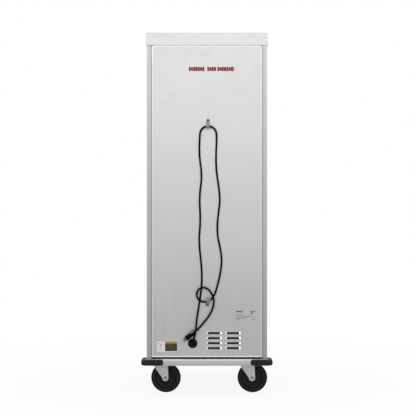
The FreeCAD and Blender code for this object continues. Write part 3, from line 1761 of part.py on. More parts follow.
def fork_leg(name, side):
    """One leg: a plate that narrows from the crown to a round tip at the axle."""
    low, high = "fork_gap / 2", "fork_gap / 2 + fork_sheet"
    if side < 0:
        low, high = f"-({high})", f"-({low})"
    taper = DOCUMENT.addObject("Part::Wedge", name + "_taper")
    # The wedge's own Y runs up the leg, and its Z runs through the sheet.
    sizes = {
        "Xmin": "caster_trail - fork_tip_radius",
        "Xmax": "caster_trail + fork_tip_radius",
        "X2min": "-fork_trail",
        "X2max": "fork_lead",
        "Ymin": WHEEL_RADIUS,
        "Ymax": f"{CROWN_TOP} - crown_sheet / 2",
        "Zmin": low,
        "Zmax": high,
        "Z2min": low,
        "Z2max": high,
    }
    for path, text in sizes.items():
        bind(taper, path, text)
    taper.Placement = Placement(Vector(), Rotation(Vector(1, 0, 0), 90))
    tip = rod(
        name + "_tip", "y", ("caster_trail", WHEEL_RADIUS), mirrored(low, high), "fork_tip_radius"
    )
    return [taper, tip]


def mirrored(low, high):
    """The low and high formulas of the same span on the other side of zero."""
    return (f"-({high})", f"-({low})")


def pedal_ears(name):
    """Two ears from the fork's legs to the brake pedal's pivot, and the pin between them."""
    inner, outer = "fork_gap / 2", "(fork_gap / 2 + fork_sheet)"
    reach = (f"-({PEDAL_X} + pedal_pivot_radius)", "0")
    height = around("pedal_height", "ear_height")
    spot = (f"-{PEDAL_X}", "pedal_height")
    return [
        block(f"{name}_ear_a", reach, (inner, outer), height),
        block(f"{name}_ear_b", reach, mirrored(inner, outer), height),
        rod(f"{name}_ear_pin", "y", spot, spread(outer), "pedal_pivot_radius / 2"),
    ]


def caster_fork(name):
    """Fork with its crown and kingpin, and the axle bolt through its legs."""
    top = CROWN_TOP
    pieces = fork_leg(f"{name}_leg_a", 1) + fork_leg(f"{name}_leg_b", -1)
    if name in BRAKED:
        pieces += pedal_ears(name)
    pieces.append(rod(
        f"{name}_crown", "z", ("0", "0"), (f"{top} - crown_sheet", top), "crown_radius"
    ))
    pieces.append(block(
        f"{name}_bridge",
        ("-fork_trail", "fork_lead"),
        spread("fork_gap / 2 + fork_sheet"),
        (f"{top} - crown_sheet", top),
    ))
    pieces.append(rod(
        f"{name}_kingpin",
        "z",
        ("0", "0"),
        (f"{top} - crown_sheet / 2", f"{top} + swivel_gap + raceway_height"),
        "kingpin_radius",
    ))
    shell = "fork_gap / 2 + fork_sheet"
    axle_spot = ("caster_trail", WHEEL_RADIUS)
    hole = rod(f"{name}_axle_hole", "y", axle_spot, spread(f"{shell} + overcut"), "axle_radius")
    fork = cut(f"{name}_fork", fuse(f"{name}_fork_solid", pieces), [hole])
    axle = fuse(f"{name}_axle", [
        rod(f"{name}_axle_rod", "y", axle_spot, spread(shell), "axle_radius"),
        rod(
            f"{name}_axle_head", "y", axle_spot, (shell, f"{shell} + axle_head"), "axle_head_radius"
        ),
        rod(
            f"{name}_axle_nut",
            "y",
            axle_spot,
            (f"-({shell} + axle_head)", f"-({shell})"),
            "axle_head_radius",
        ),
    ])
    return stand(group(f"caster_fork_{name}", [fork, axle]), name)


def caster_wheel(name):
    """Wheel core with its web and boss, and the tyre round it."""
    core = body(f"{name}_core")
    rim = "(wheel_diameter / 2 - tyre_thickness)"
    side = sketch(core, "XZ_Plane")
    bore = "axle_radius + running_clearance"
    half, web, boss = "(wheel_width / 2)", "(core_web / 2)", "(core_boss_width / 2)"
    polygon(side, [
        (bore, f"-{boss}"),
        ("core_boss_radius", f"-{boss}"),
        ("core_boss_radius", f"-{web}"),
        (f"{rim} - core_rim_deep", f"-{web}"),
        (f"{rim} - core_rim", f"-{half}"),
        (rim, f"-{half}"),
        (rim, half),
        (f"{rim} - core_rim", half),
        (f"{rim} - core_rim_deep", web),
        ("core_boss_radius", web),
        ("core_boss_radius", boss),
        (bore, boss),
    ])
    turned(core, side)
    tyre = body(f"{name}_tyre")
    profile = sketch(tyre, "XZ_Plane")
    tread = WHEEL_RADIUS
    polygon(profile, [
        (rim, f"-{half}"),
        (f"{tread} - tyre_shoulder", f"-{half}"),
        (f"{tread} - tyre_shoulder * 0.3", f"-{half} + tyre_shoulder * 0.3"),
        (tread, f"-{half} + tyre_shoulder"),
        (tread, f"{half} - tyre_shoulder"),
        (f"{tread} - tyre_shoulder * 0.3", f"{half} - tyre_shoulder * 0.3"),
        (f"{tread} - tyre_shoulder", half),
        (rim, half),
    ])
    turned(tyre, profile)
    for piece in (core, tyre):
        piece.Placement = Placement(Vector(), Rotation(Vector(1, 0, 0), 90))
        place(piece, "caster_trail", "0", WHEEL_RADIUS)
    return stand(group(f"caster_wheel_{name}", [core, tyre]), name)


def brake_pedal(name):
    """Foot pedal on the pin between the fork's ears, with a shoe that swings to the tyre."""
    half = "(fork_gap / 2 - pedal_gap)"
    spot = (f"-{PEDAL_X}", "pedal_height")
    tread = block(
        f"{name}_tread",
        (f"-({PEDAL_X} + pedal_reach)", f"-{PEDAL_X}"),
        spread(half),
        around("pedal_height", "pedal_sheet"),
    )
    barrel = rod(f"{name}_barrel", "y", spot, spread(half), "pedal_pivot_radius")
    shoe = block(
        f"{name}_shoe",
        around(f"-{PEDAL_X}", "shoe_thickness"),
        spread("wheel_width * 0.4"),
        ("pedal_height - shoe_drop", "pedal_height"),
    )
    bore = "pedal_pivot_radius / 2 + running_clearance"
    hole = rod(f"{name}_pedal_bore", "y", spot, spread(f"{half} + overcut"), bore)
    solid = fuse(f"{name}_pedal_solid", [tread, barrel, shoe])
    return stand(cut(f"brake_pedal_{name}", solid, [hole]), name)


# ---------------------------------------------------------------- whole cabinet


PROBE = None


def size_of(text):
    """The number that a formula gives with the sheet's present sizes."""
    bind(PROBE, "Length", f"({text}) + 100000")
    PROBE.recompute()
    return PROBE.Length.Value - 100000


def build():
    """Makes every sub-part, in the order in which the cabinet is put together."""
    parts = [base_frame(), corner_post("rear_post_left", -1), corner_post("rear_post_right", 1)]
    parts += [top_cap(), rear_panel()]
    parts += [side_panel("side_panel_left", -1), side_panel("side_panel_right", 1), front_frame()]
    parts += liner_sheets() + [insulation_boards(), shelf_pilasters(), shelf_clips()]
    parts += [wire_shelf(index) for index in range(1, int(size("shelf_count")) + 1)]
    parts += [blower_housing(), blower_motor(), blower_wheel(), heating_element()]
    parts += [control_fascia(), thermostat_body(), thermostat_dial(), thermostat_bulb()]
    parts += [switch_body(), rocker_switch(), pilot_light(), temperature_display()]
    parts += [cord_gland(), power_cord(), plug_body(), plug_blades(), hook_screws()]
    parts += [cord_hook(name) for name in HOOKS]
    inside = (f"{DOOR_FRONT} + sheet_metal", f"{DOOR_BACK} - sheet_metal")
    cover = (f"{DOOR_BACK} - sheet_metal", DOOR_BACK)
    parts += [door_skin(), door_panes(), door_gasket(), door_handle()]
    parts += [
        door_ring("door_inner_panel", cover, "sheet_metal", "sheet_metal"),
        door_ring("door_insulation", inside, "sheet_metal", "sheet_metal"),
    ]
    parts += [door_hinge_leaves(), frame_hinge_leaves(), catch_magnets()]
    parts += [corner_bumpers(), caster_plates()]
    for name in CASTERS:
        parts += [caster_fork(name), caster_wheel(name)]
    parts += [brake_pedal(name) for name in BRAKED]
    return parts


def check_and_export(parts):
    """Stops on any failed object or bad shape, then writes one file for each sub-part."""
    DOCUMENT.recompute()
    for item in DOCUMENT.Objects:
        if "Invalid" in item.State or "Error" in item.State:
            raise RuntimeError(f"{item.Label} failed: {item.State}")
    for part in parts:
        if part.Shape.isNull() or not part.Shape.isValid() or not part.Shape.Solids:
            raise RuntimeError(f"{part.Label} has no valid solid")
        part.Shape.exportStep(f"parts/{part.Label}.step")
    print(len(parts), "sub-parts,", sum(len(part.Shape.Solids) for part in parts), "solids")


fill_sheet()
PROBE = DOCUMENT.addObject("Part::Box", "probe")
check_and_export(build())
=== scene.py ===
"""Blanket warming cabinet: finishes, trim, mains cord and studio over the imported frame.

Metres, +Z up, the door towards -Y and the service panel with its cord towards +Y.
"""
import logging
import math
from dataclasses import dataclass, field
from enum import Enum
from typing import Callable, Iterable

import bmesh
import bpy
from mathutils import Matrix, Vector


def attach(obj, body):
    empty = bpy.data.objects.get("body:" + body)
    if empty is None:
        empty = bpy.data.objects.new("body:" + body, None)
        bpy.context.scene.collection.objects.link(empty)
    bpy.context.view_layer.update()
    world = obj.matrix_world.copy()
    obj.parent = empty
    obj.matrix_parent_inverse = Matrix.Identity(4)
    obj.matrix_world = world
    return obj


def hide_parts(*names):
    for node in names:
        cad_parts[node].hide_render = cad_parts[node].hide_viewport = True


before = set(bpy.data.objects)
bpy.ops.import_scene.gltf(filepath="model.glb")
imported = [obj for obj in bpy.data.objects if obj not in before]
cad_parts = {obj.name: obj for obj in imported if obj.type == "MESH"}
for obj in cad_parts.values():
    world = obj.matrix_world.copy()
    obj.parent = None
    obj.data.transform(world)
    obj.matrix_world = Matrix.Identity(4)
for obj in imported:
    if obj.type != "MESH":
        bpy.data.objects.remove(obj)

LOG = logging.getLogger("warming_cabinet")
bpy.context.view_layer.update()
CORNERS = ("rear_right", "rear_left", "front_right", "front_left")
BRAKED = ("front_left", "front_right")
PANEL_FACE = 0.378
Colour = tuple[float, float, float]
Pair = tuple[float, float]
Triple = tuple[float, float, float]
Quad = tuple[float, float, float, float]
Socket = bpy.types.NodeSocket
Mesh = bmesh.types.BMesh
Draw = Callable[[Mesh], None]


def linear(colour: Colour) -> Quad:
    """Turns a display colour into the linear red, green, blue and alpha of a shader socket."""
    bent = [c / 12.92 if c <= 0.04045 else ((c + 0.055) / 1.055) ** 2.4 for c in colour]
    return (bent[0], bent[1], bent[2], 1.0)


# ---------------------------------------------------------------- shader wiring


class Wiring:
    """Short calls for adding and joining the nodes of one tree."""

    def __init__(self, tree: bpy.types.NodeTree) -> None:
        """Keeps the node tree of a material, a world or a group."""
        self.tree = tree

    def node(self, kind: str, **values: object) -> bpy.types.Node:
        """Adds a node.

        Args:
            kind: the node's type name.
            **values: properties to set on it.

        Returns:
            The new node.
        """
        made = self.tree.nodes.new(kind)
        for key, value in values.items():
            setattr(made, key, value)
        return made

    def link(self, source: Socket, target: Socket) -> None:
        """Joins an output to an input."""
        self.tree.links.new(source, target)

    def feed(self, target: Socket, value: object) -> None:
        """Gives an input a link or a plain value.

        Args:
            target: the input.
            value: a socket to join it to, or the value to set.
        """
        if isinstance(value, Socket):
            self.link(value, target)
        else:
            target.default_value = value

    def maths(self, operation: str, first: object, second: object = 0.0) -> Socket:
        """Adds a Math node.

        Args:
            operation: the name of the sum that it does.
            first: a socket or a number for its first input.
            second: a socket or a number for its second input.

        Returns:
            The node's output.
        """
        made = self.node("ShaderNodeMath", operation=operation)
        self.feed(made.inputs[0], first)
        self.feed(made.inputs[1], second)
        return made.outputs[0]

    def times(self, first: object, second: object) -> Socket:
        """The product of two masks or numbers."""
        return self.maths("MULTIPLY", first, second)

    def plus(self, first: object, second: object) -> Socket:
        """The sum of two masks or numbers."""
        return self.maths("ADD", first, second)

    def axes(self, vector: Socket) -> tuple[Socket, Socket, Socket]:
        """Splits a vector.

        Args:
            vector: the vector's socket.

        Returns:
            Its X, Y and Z.
        """
        made = self.node("ShaderNodeSeparateXYZ")
        self.link(vector, made.inputs[0])
        return tuple(made.outputs)

    def noise(self, place: Socket, scale: object, detail: float, **more: float) -> Socket:
        """Adds a Noise Texture.

        Args:
            place: the coordinates that it reads.
            scale: its scale, a number or a socket.
            detail: its detail.
            **more: its other inputs by name.

        Returns:
            Its value.
        """
        made = self.node("ShaderNodeTexNoise")
        self.feed(made.inputs["Scale"], scale)
        made.inputs["Detail"].default_value = detail
        for key, value in more.items():
            made.inputs[key].default_value = value
        self.link(place, made.inputs["Vector"])
        return made.outputs["Fac"]

    def cells(self, place: Socket, scale: object, **kind: str) -> Socket:
        """Adds a Voronoi Texture.

        Args:
            place: the coordinates that it reads.
            scale: its scale, a number or a socket.
            **kind: properties to set on it.

        Returns:
            Its distance.
        """
        made = self.node("ShaderNodeTexVoronoi", **kind)
        self.feed(made.inputs["Scale"], scale)
        self.link(place, made.inputs["Vector"])
        return made.outputs["Distance"]

    def ramp(self, value: Socket, low: float, high: float) -> Socket:
        """Maps a mask to zero at low and one at high, kept within that range.

        Args:
            value: the mask.
            low: where the result is zero.
            high: where the result is one.

        Returns:
            The mapped mask.
        """
        made = self.node("ShaderNodeMapRange")
        self.link(value, made.inputs["Value"])
        made.inputs["From Min"].default_value = low
        made.inputs["From Max"].default_value = high
        return made.outputs["Result"]

    def between(self, mask: object, first: object, second: object, blend: str = "MIX") -> Socket:
        """Mixes two colours by a mask.

        Args:
            mask: zero gives the first colour and one the second.
            first: a linear colour or a socket.
            second: a linear colour or a socket.
            blend: the way that they mix.

        Returns:
            The mixed colour.
        """
        made = self.node("ShaderNodeMix", data_type="RGBA", blend_type=blend)
        self.feed(made.inputs["Factor"], mask)
        self.feed(made.inputs[6], first)
        self.feed(made.inputs[7], second)
        return made.outputs[2]

    def blend_shaders(self, mask: Socket, first: Socket, second: Socket) -> Socket:
        """Mixes two shaders.

        Args:
            mask: zero gives the first shader and one the second.
            first: a shader's socket.
            second: a shader's socket.

        Returns:
            The mixed shader.
        """
        made = self.node("ShaderNodeMixShader")
        for target, source in zip(made.inputs, (mask, first, second)):
            self.link(source, target)
        return made.outputs[0]


class Effects:
    """The shared surface effects, each a node group that is built once."""

    @staticmethod
    def _start(name: str, inputs: dict[str, float | None], outputs: Iterable[str]) -> tuple:
        """Opens a group with a Vector input, named numbers and named outputs.

        Args:
            name: the group's name.
            inputs: float sockets and their defaults.
            outputs: float output names.

        Returns:
            The group, its wiring, its input node and its output node.
        """
        group = bpy.data.node_groups.new(name, "ShaderNodeTree")
        group.interface.new_socket("Vector", in_out="INPUT", socket_type="NodeSocketVector")
        for key, value in inputs.items():
            made = group.interface.new_socket(key, in_out="INPUT", socket_type="NodeSocketFloat")
            made.default_value = value
        for key in outputs:
            group.interface.new_socket(key, in_out="OUTPUT", socket_type="NodeSocketFloat")
        wiring = Wiring(group)
        return group, wiring, wiring.node("NodeGroupInput"), wiring.node("NodeGroupOutput")

    @classmethod
    def get(cls, name: str) -> bpy.types.NodeTree:
        """Returns the named effect, building it on its first use."""
        found = bpy.data.node_groups.get(name)
        return found if found else getattr(cls, name)()

    @classmethod
    def brushed_lines(cls) -> bpy.types.NodeTree:
        """Fine parallel lines of a brushed sheet, along the vector's X.

        Returns:
            A group with Fine and Streak outputs.
        """
        group, w, source, sink = cls._start(
            "brushed_lines", {"Pitch": 900.0, "Stretch": 90.0}, ("Fine", "Streak")
        )
        for key, share in (("Fine", 1.0), ("Streak", 0.12)):
            pitch = w.times(source.outputs["Pitch"], share)
            along = w.maths("DIVIDE", pitch, source.outputs["Stretch"])
            scale = w.node("ShaderNodeCombineXYZ")
            w.link(along, scale.inputs[0])
            w.link(pitch, scale.inputs[1])
            w.link(pitch, scale.inputs[2])
            vector = w.node("ShaderNodeVectorMath", operation="MULTIPLY")
            w.link(source.outputs["Vector"], vector.inputs[0])
            w.link(scale.outputs[0], vector.inputs[1])
            w.link(w.ramp(w.noise(vector.outputs[0], 1.0, 2.0), 0.3, 0.7), sink.inputs[key])
        return group

    @classmethod
    def handling_marks(cls) -> bpy.types.NodeTree:
        """Broad uneven sheen with a few faint smudges, as on wiped sheet metal.

        Returns:
            A group with Cloud and Smudge outputs.
        """
        group, w, source, sink = cls._start(
            "handling_marks", {"Scale": 3.0}, ("Cloud", "Smudge")
        )
        for key, share, detail, low, high in (
            ("Cloud", 1.0, 3.0, 0.3, 0.7),
            ("Smudge", 4.0, 6.0, 0.55, 0.8),
        ):
            scale = w.times(source.outputs["Scale"], share)
            cloud = w.noise(source.outputs["Vector"], scale, detail, Roughness=0.6)
            w.link(w.ramp(cloud, low, high), sink.inputs[key])
        return group

    @classmethod
    def moulded_grain(cls) -> bpy.types.NodeTree:
        """Fine pebbled grain of a moulded surface, with settled dust.

        Returns:
            A group with Grain and Dust outputs.
        """
        group, w, source, sink = cls._start(
            "moulded_grain", {"Scale": 900.0, "Dust Scale": 14.0}, ("Grain", "Dust")
        )
        place = source.outputs["Vector"]
        w.link(w.cells(place, source.outputs["Scale"]), sink.inputs["Grain"])
        dust = w.noise(place, source.outputs["Dust Scale"], 8.0, Roughness=0.65)
        w.link(w.ramp(dust, 0.45, 0.75), sink.inputs["Dust"])
        return group

    @classmethod
    def zinc_bloom(cls) -> bpy.types.NodeTree:
        """Soft crystal patches of a plated surface.

        Returns:
            A group with Patch and Fleck outputs.
        """
        group, w, source, sink = cls._start("zinc_bloom", {"Scale": 120.0}, ("Patch", "Fleck"))
        place, scale = source.outputs["Vector"], source.outputs["Scale"]
        patches = w.cells(place, scale, feature="SMOOTH_F1")
        w.link(w.ramp(patches, 0.1, 0.7), sink.inputs["Patch"])
        flecks = w.noise(place, w.times(scale, 3.0), 5.0)
        w.link(w.ramp(flecks, 0.35, 0.7), sink.inputs["Fleck"])
        return group


class Grain(Enum):
    """The way that a brushed finish runs, as the turn that brings it to the vector's X."""

    ACROSS = (0.0, 0.0, 0.0)
    UPRIGHT = (0.0, math.pi / 2, 0.0)
    DEEP = (0.0, 0.0, math.pi / 2)


@dataclass(frozen=True)
class Finish:
    """A finish of one material. colour is its display colour."""

    name: str
    colour: Colour
    roughness: float

    def tone(self, factor: float = 1.0) -> Quad:
        """The finish's linear colour, made lighter or darker by a factor."""
        return linear(tuple(min(1.0, c * factor) for c in self.colour))

    def start(self) -> tuple[bpy.types.Material, Wiring, bpy.types.Node, Socket]:
        """Opens the material.

        Returns:
            The material, its wiring, its shader and the piece's own coordinates.
        """
        material = bpy.data.materials.new(f"{self.name}_finish")
        material.use_nodes = True
        w = Wiring(material.node_tree)
        shader = material.node_tree.nodes["Principled BSDF"]
        shader.inputs["Base Color"].default_value = self.tone()
        shader.inputs["Roughness"].default_value = self.roughness
        place = w.node("ShaderNodeTexCoord").outputs["Object"]
        return material, w, shader, place

    def effect(self, w: Wiring, name: str, place: Socket, **values: float) -> bpy.types.Node:
        """Places a shared effect in the material.

        Args:
            w: the material's wiring.
            name: the effect's name.
            place: the coordinates that it reads.
            **values: the effect's own numbers.

        Returns:
            The group node.
        """
        node = w.node("ShaderNodeGroup", node_tree=Effects.get(name))
        w.link(place, node.inputs["Vector"])
        for key, value in values.items():
            node.inputs[key].default_value = value
        return node

    def roughen(self, w: Wiring, shader: bpy.types.Node, extra: Socket, less: float = 0.0) -> None:
        """Adds a varying value to the finish's roughness, after taking a fixed one away."""
        w.link(w.plus(extra, self.roughness - less), shader.inputs["Roughness"])

    def relief(
        self, w: Wiring, shader: bpy.types.Node, height: Socket, depth: float, strength: float
    ) -> None:
        """Feeds a height to the shader's normal.

        Args:
            w: the material's wiring.
            shader: the Principled shader.
            height: the height mask.
            depth: the height of its full range, in metres.
            strength: how strongly it shows.
        """
        bump = w.node("ShaderNodeBump")
        bump.inputs["Strength"].default_value = strength
        bump.inputs["Distance"].default_value = depth
        w.link(height, bump.inputs["Height"])
        w.link(bump.outputs["Normal"], shader.inputs["Normal"])

    def material(self) -> bpy.types.Material:
        """Builds the material once and returns it afterwards."""
        found = bpy.data.materials.get(f"{self.name}_finish")
        return found if found else self.build()

    def build(self) -> bpy.types.Material:
        """Builds a plain material, which each kind of finish replaces."""
        return self.start()[0]


@dataclass(frozen=True)
class BrushedSteel(Finish):
    """Satin stainless sheet, brushed along one way."""

    grain: Grain = Grain.UPRIGHT
    spread: float = 0.035

    def shaded(self, w: Wiring, place: Socket, colour: Socket) -> Socket:
        """Paints light and shade into the colour where a kind of sheet needs them. A plain one has no such
        place.
        """
        return colour

    def build(self) -> bpy.types.Material:
        """Wires the brushed lines, the handling marks and the light and shade that a kind of sheet paints
        over them.

        Returns:
            The finished material.
        """
        material, w, shader, place = self.start()
        shader.inputs["Metallic"].default_value = 1.0
        turn = w.node("ShaderNodeMapping")
        turn.inputs["Rotation"].default_value = self.grain.value
        w.link(place, turn.inputs["Vector"])
        lines = self.effect(w, "brushed_lines", turn.outputs[0])
        marks = self.effect(w, "handling_marks", place)
        tone = w.plus(w.times(lines.outputs["Fine"], 0.4), w.times(lines.outputs["Streak"], 0.25))
        tone = w.plus(tone, w.times(marks.outputs["Cloud"], 0.35))
        sheet = w.between(tone, self.tone(1 - self.spread), self.tone(1 + self.spread))
        w.link(self.shaded(w, place, sheet), shader.inputs["Base Color"])
        rough = w.plus(w.times(lines.outputs["Streak"], 0.05), w.times(marks.outputs["Smudge"], 0.07))
        self.roughen(w, shader, rough, 0.04)
        self.relief(w, shader, lines.outputs["Fine"], 0.00002, 0.25)
        return material


@dataclass(frozen=True)
class LouvredSteel(BrushedSteel):
    """Brushed sheet with a broad painted sheen and painted highlights on its bent edges and below the cap,
    whose pressed louvres get painted shade inside and painted highlights at their ends.
    """

    face: float = PANEL_FACE
    columns: Pair = (-0.13215, -0.03585)
    half_width: float = 0.0305
    end_width: float = 0.0078
    rows: Pair = (0.215, 0.335)
    foot: float = 0.197
    # Top of the sheet under the cap; a painted highlight just below it hides the shade under the cap's lip.
    top: float = 1.770
    # Heights where the painted sheen band rises and where it falls away.
    sheen: tuple[Pair, ...] = ((0.42, 0.8), (1.75, 1.35))
    lean: float = 0.35

    def louvres(
        self, w: Wiring, place: Socket, near: float, far: float, deep: float, side: float = 0.0
    ) -> Socket:
        """Finds the parts of the louvres that lie between two distances from a column's middle.

        Args:
            w: the material's wiring.
            place: the piece's own coordinates.
            near: where the parts start.
            far: where they end.
            deep: how far behind the sheet's face they are fully found.
            side: 1 or -1 for the parts on one side of the middle only, 0 for both.

        Returns:
            A mask of those parts.
        """
        x, y, z = w.axes(place)
        low, high = self.rows
        found = w.times(w.maths("GREATER_THAN", z, low), w.maths("LESS_THAN", z, high))
        found = w.times(found, w.ramp(y, self.face - 0.0004, self.face - deep))
        strips = []
        for middle in self.columns:
            off = w.maths("SUBTRACT", x, middle)
            off = w.times(off, side) if side else w.maths("ABSOLUTE", off)
            within = w.ramp(off, far + 0.0012, far - 0.0004)
            strips.append(w.times(within, w.maths("GREATER_THAN", off, near)))
        return w.times(found, w.maths("MAXIMUM", *strips))

    def ends(self, w: Wiring, place: Socket) -> Socket:
        """Finds the louvres' end ramps for a painted highlight, weaker on the ramps towards +X.

        Args:
            w: the material's wiring.
            place: the piece's own coordinates.

        Returns:
            A mask of those ramps.
        """
        # Painted highlight on the end ramps, at 0.45 strength on the side towards +X.
        start, end = self.half_width + 0.0008, self.half_width + self.end_width
        painted_highlight = self.louvres(w, place, start, end, 0.0012, -1.0)
        painted_dimmer = self.louvres(w, place, start, end - 0.0025, 0.0012, 1.0)
        return w.plus(painted_highlight, w.times(painted_dimmer, 0.45))

    def bends(self, w: Wiring) -> Socket:
        """Finds the narrow faces that turn away from the sheet."""
        _, y, _ = w.axes(w.node("ShaderNodeTexCoord").outputs["Normal"])
        return w.ramp(y, 0.97, 0.88)

    def shaded(self, w: Wiring, place: Socket, colour: Socket) -> Socket:
        """Paints the broad sheen, a highlight just below the cap, highlights on the bent edges, shade on
        the louvres' floors and highlights on their end ramps.

        Args:
            w: the material's wiring.
            place: the piece's own coordinates.
            colour: the sheet's colour so far.

        Returns:
            The colour with all of them.
        """
        _, _, up = w.axes(place)
        # Painted light and shade: a sheen band at mid height, a highlight below the cap, highlights on the
        # bent edges, shade on the louvres' floors and highlights on their end ramps.
        louvre_shade = self.louvres(w, place, -1.0, self.half_width, 0.0028)
        painted_sheen = w.maths("MINIMUM", *(w.ramp(up, low, high) for low, high in self.sheen))
        for mask, shade in (
            (w.times(painted_sheen, 0.8), 0.878),
            (w.ramp(up, self.top - 0.009, self.top - 0.003), 0.96),
            (self.bends(w), 0.93),
            (louvre_shade, 0.22),
            (self.ends(w, place), 1.0),
        ):
            colour = w.between(mask, colour, linear((shade, shade, shade)))
        return colour

    def build(self) -> bpy.types.Material:
        """Wires the sheet, then softens the shading of its narrow faces and the louvres' ends.

        Returns:
            The finished material.
        """
        material = super().build()
        w = Wiring(material.node_tree)
        place = w.node("ShaderNodeTexCoord").outputs["Object"]
        bends, ends = self.bends(w), self.ends(w, place)
        _, _, up = w.axes(place)
        sill = w.times(bends, w.maths("LESS_THAN", up, self.foot))
        leaning = w.node("ShaderNodeCombineXYZ")
        leaning.inputs[1].default_value = 1.0
        w.link(w.times(w.maths("MAXIMUM", w.times(sill, 0.5), ends), self.lean), leaning.inputs[2])
        target = w.node("ShaderNodeVectorMath", operation="NORMALIZE")
        w.link(leaning.outputs[0], target.inputs[0])
        normal = material.node_tree.nodes["Principled BSDF"].inputs["Normal"]
        softened = w.node("ShaderNodeMix", data_type="VECTOR")
        w.link(w.maths("MAXIMUM", bends, ends), softened.inputs[0])
        w.link(normal.links[0].from_socket, softened.inputs[4])
        w.link(target.outputs[0], softened.inputs[5])
        w.link(softened.outputs[1], normal)
        return material


@dataclass(frozen=True)
class PostSteel(BrushedSteel):
    """Brushed corner sheet with painted shade along its inner edge, a painted highlight on its outer bend
    and painted shade towards its foot.
    """

    inner: float = 0.2805
    outer: float = 0.305
    # Heights where the painted shade towards the foot starts and where it is full.
    painted_foot_shade: Pair = (0.75, 0.25)

    def shaded(self, w: Wiring, place: Socket, colour: Socket) -> Socket:
        """Paints shade on the strip beside the recessed panel, a highlight on the outer bend and shade
        towards the foot.

        Args:
            w: the material's wiring.
            place: the piece's own coordinates.
            colour: the sheet's colour so far.

        Returns:
            The colour with all of them.
        """
        x, _, up = w.axes(place)
        reach = w.maths("ABSOLUTE", x)
        # Painted shade beside the panel's groove, a painted highlight on the outer bend and painted shade
        # towards the foot.
        painted_dimmer = w.ramp(reach, self.inner + 0.0065, self.inner + 0.0040)
        painted_highlight = w.ramp(reach, self.outer - 0.004, self.outer - 0.001)
        colour = w.between(painted_dimmer, colour, self.tone(0.91))
        colour = w.between(painted_highlight, colour, self.tone(1.05))
        return w.between(w.ramp(up, *self.painted_foot_shade), colour, (0.85, 0.85, 0.85, 1.0), "MULTIPLY")


@dataclass(frozen=True)
class PanSteel(BrushedSteel):
    """Brushed base pan with painted shade on its deck under the cabinet's shell and on its skirt towards
    the floor.
    """

    deck: float = 0.1785
    shell: float = PANEL_FACE - 0.0012

    def shaded(self, w: Wiring, place: Socket, colour: Socket) -> Socket:
        """Paints shade on the skirt, growing downwards, and deep shade on the deck behind the shell's
        faces.

        Args:
            w: the material's wiring.
            place: the piece's own coordinates.
            colour: the sheet's colour so far.

        Returns:
            The colour with both.
        """
        _, y, z = w.axes(place)
        # Painted shade: deep on the deck hidden behind the shell, lighter on the lower skirt.
        under = w.times(w.maths("GREATER_THAN", z, self.deck), w.maths("LESS_THAN", y, self.shell))
        low = w.ramp(z, self.deck - 0.004, self.deck - 0.034)
        colour = w.between(low, colour, self.tone(0.92))
        return w.between(under, colour, linear((0.2, 0.2, 0.2)))


@dataclass(frozen=True)
class PlatedSteel(Finish):
    """Zinc or nickel plate on pressed and turned steel."""

    scale: float = 140.0
    contrast: float = 0.06

    def build(self) -> bpy.types.Material:
        """Wires the plating's patches into colour, roughness and a slight relief.

        Returns:
            The finished material.
        """
        material, w, shader, place = self.start()
        shader.inputs["Metallic"].default_value = 1.0
        bloom = self.effect(w, "zinc_bloom", place, Scale=self.scale)
        dark, light = self.tone(1 - self.contrast), self.tone(1 + self.contrast)
        w.link(w.between(bloom.outputs["Patch"], dark, light), shader.inputs["Base Color"])
        self.roughen(w, shader, w.times(bloom.outputs["Fleck"], 0.12), 0.06)
        self.relief(w, shader, bloom.outputs["Fleck"], 0.00003, 0.3)
        return material


@dataclass(frozen=True)
class Moulded(Finish):
    """Moulded plastic or rubber with a pebbled grain and a little dust."""

    scale: float = 1100.0
    depth: float = 0.00006
    dust: float = 0.12
    coat: float = 0.0
    shine: float = 0.5

    def build(self) -> bpy.types.Material:
        """Wires the grain into the relief and the dust into colour and roughness.

        Returns:
            The finished material.
        """
        material, w, shader, place = self.start()
        shader.inputs["Coat Weight"].default_value = self.coat
        shader.inputs["Specular IOR Level"].default_value = self.shine
        grain = self.effect(w, "moulded_grain", place, Scale=self.scale)
        dusty = tuple(c + (0.5 - c) * self.dust for c in self.colour)
        colour = w.between(grain.outputs["Dust"], self.tone(), linear(dusty))
        w.link(colour, shader.inputs["Base Color"])
        self.roughen(w, shader, w.times(grain.outputs["Dust"], 0.15))
        self.relief(w, shader, grain.outputs["Grain"], self.depth, 0.4)
        return material


@dataclass(frozen=True)
class Printed(Finish):
    """Printed foil or film, faintly uneven."""

    def build(self) -> bpy.types.Material:
        """Wires a faint unevenness into the print's colour and roughness.

        Returns:
            The finished material.
        """
        material, w, shader, place = self.start()
        marks = self.effect(w, "handling_marks", place, Scale=60.0)
        faded = linear(tuple(c + (0.6 - c) * 0.08 for c in self.colour))
        w.link(w.between(marks.outputs["Cloud"], self.tone(), faded), shader.inputs["Base Color"])
        self.roughen(w, shader, w.times(marks.outputs["Smudge"], 0.15))
        return material


@dataclass(frozen=True)
class ClearGlass(Finish):
    """Clear tempered glass with faint smears."""

    def build(self) -> bpy.types.Material:
        """Wires faint smears into the roughness of a clear pane.

        Returns:
            The finished material.
        """
        material, w, shader, place = self.start()
        shader.inputs["Transmission Weight"].default_value = 1.0
        shader.inputs["IOR"].default_value = 1.5
        marks = self.effect(w, "handling_marks", place, Scale=5.0)
        self.roughen(w, shader, w.times(marks.outputs["Smudge"], 0.05))
        return material


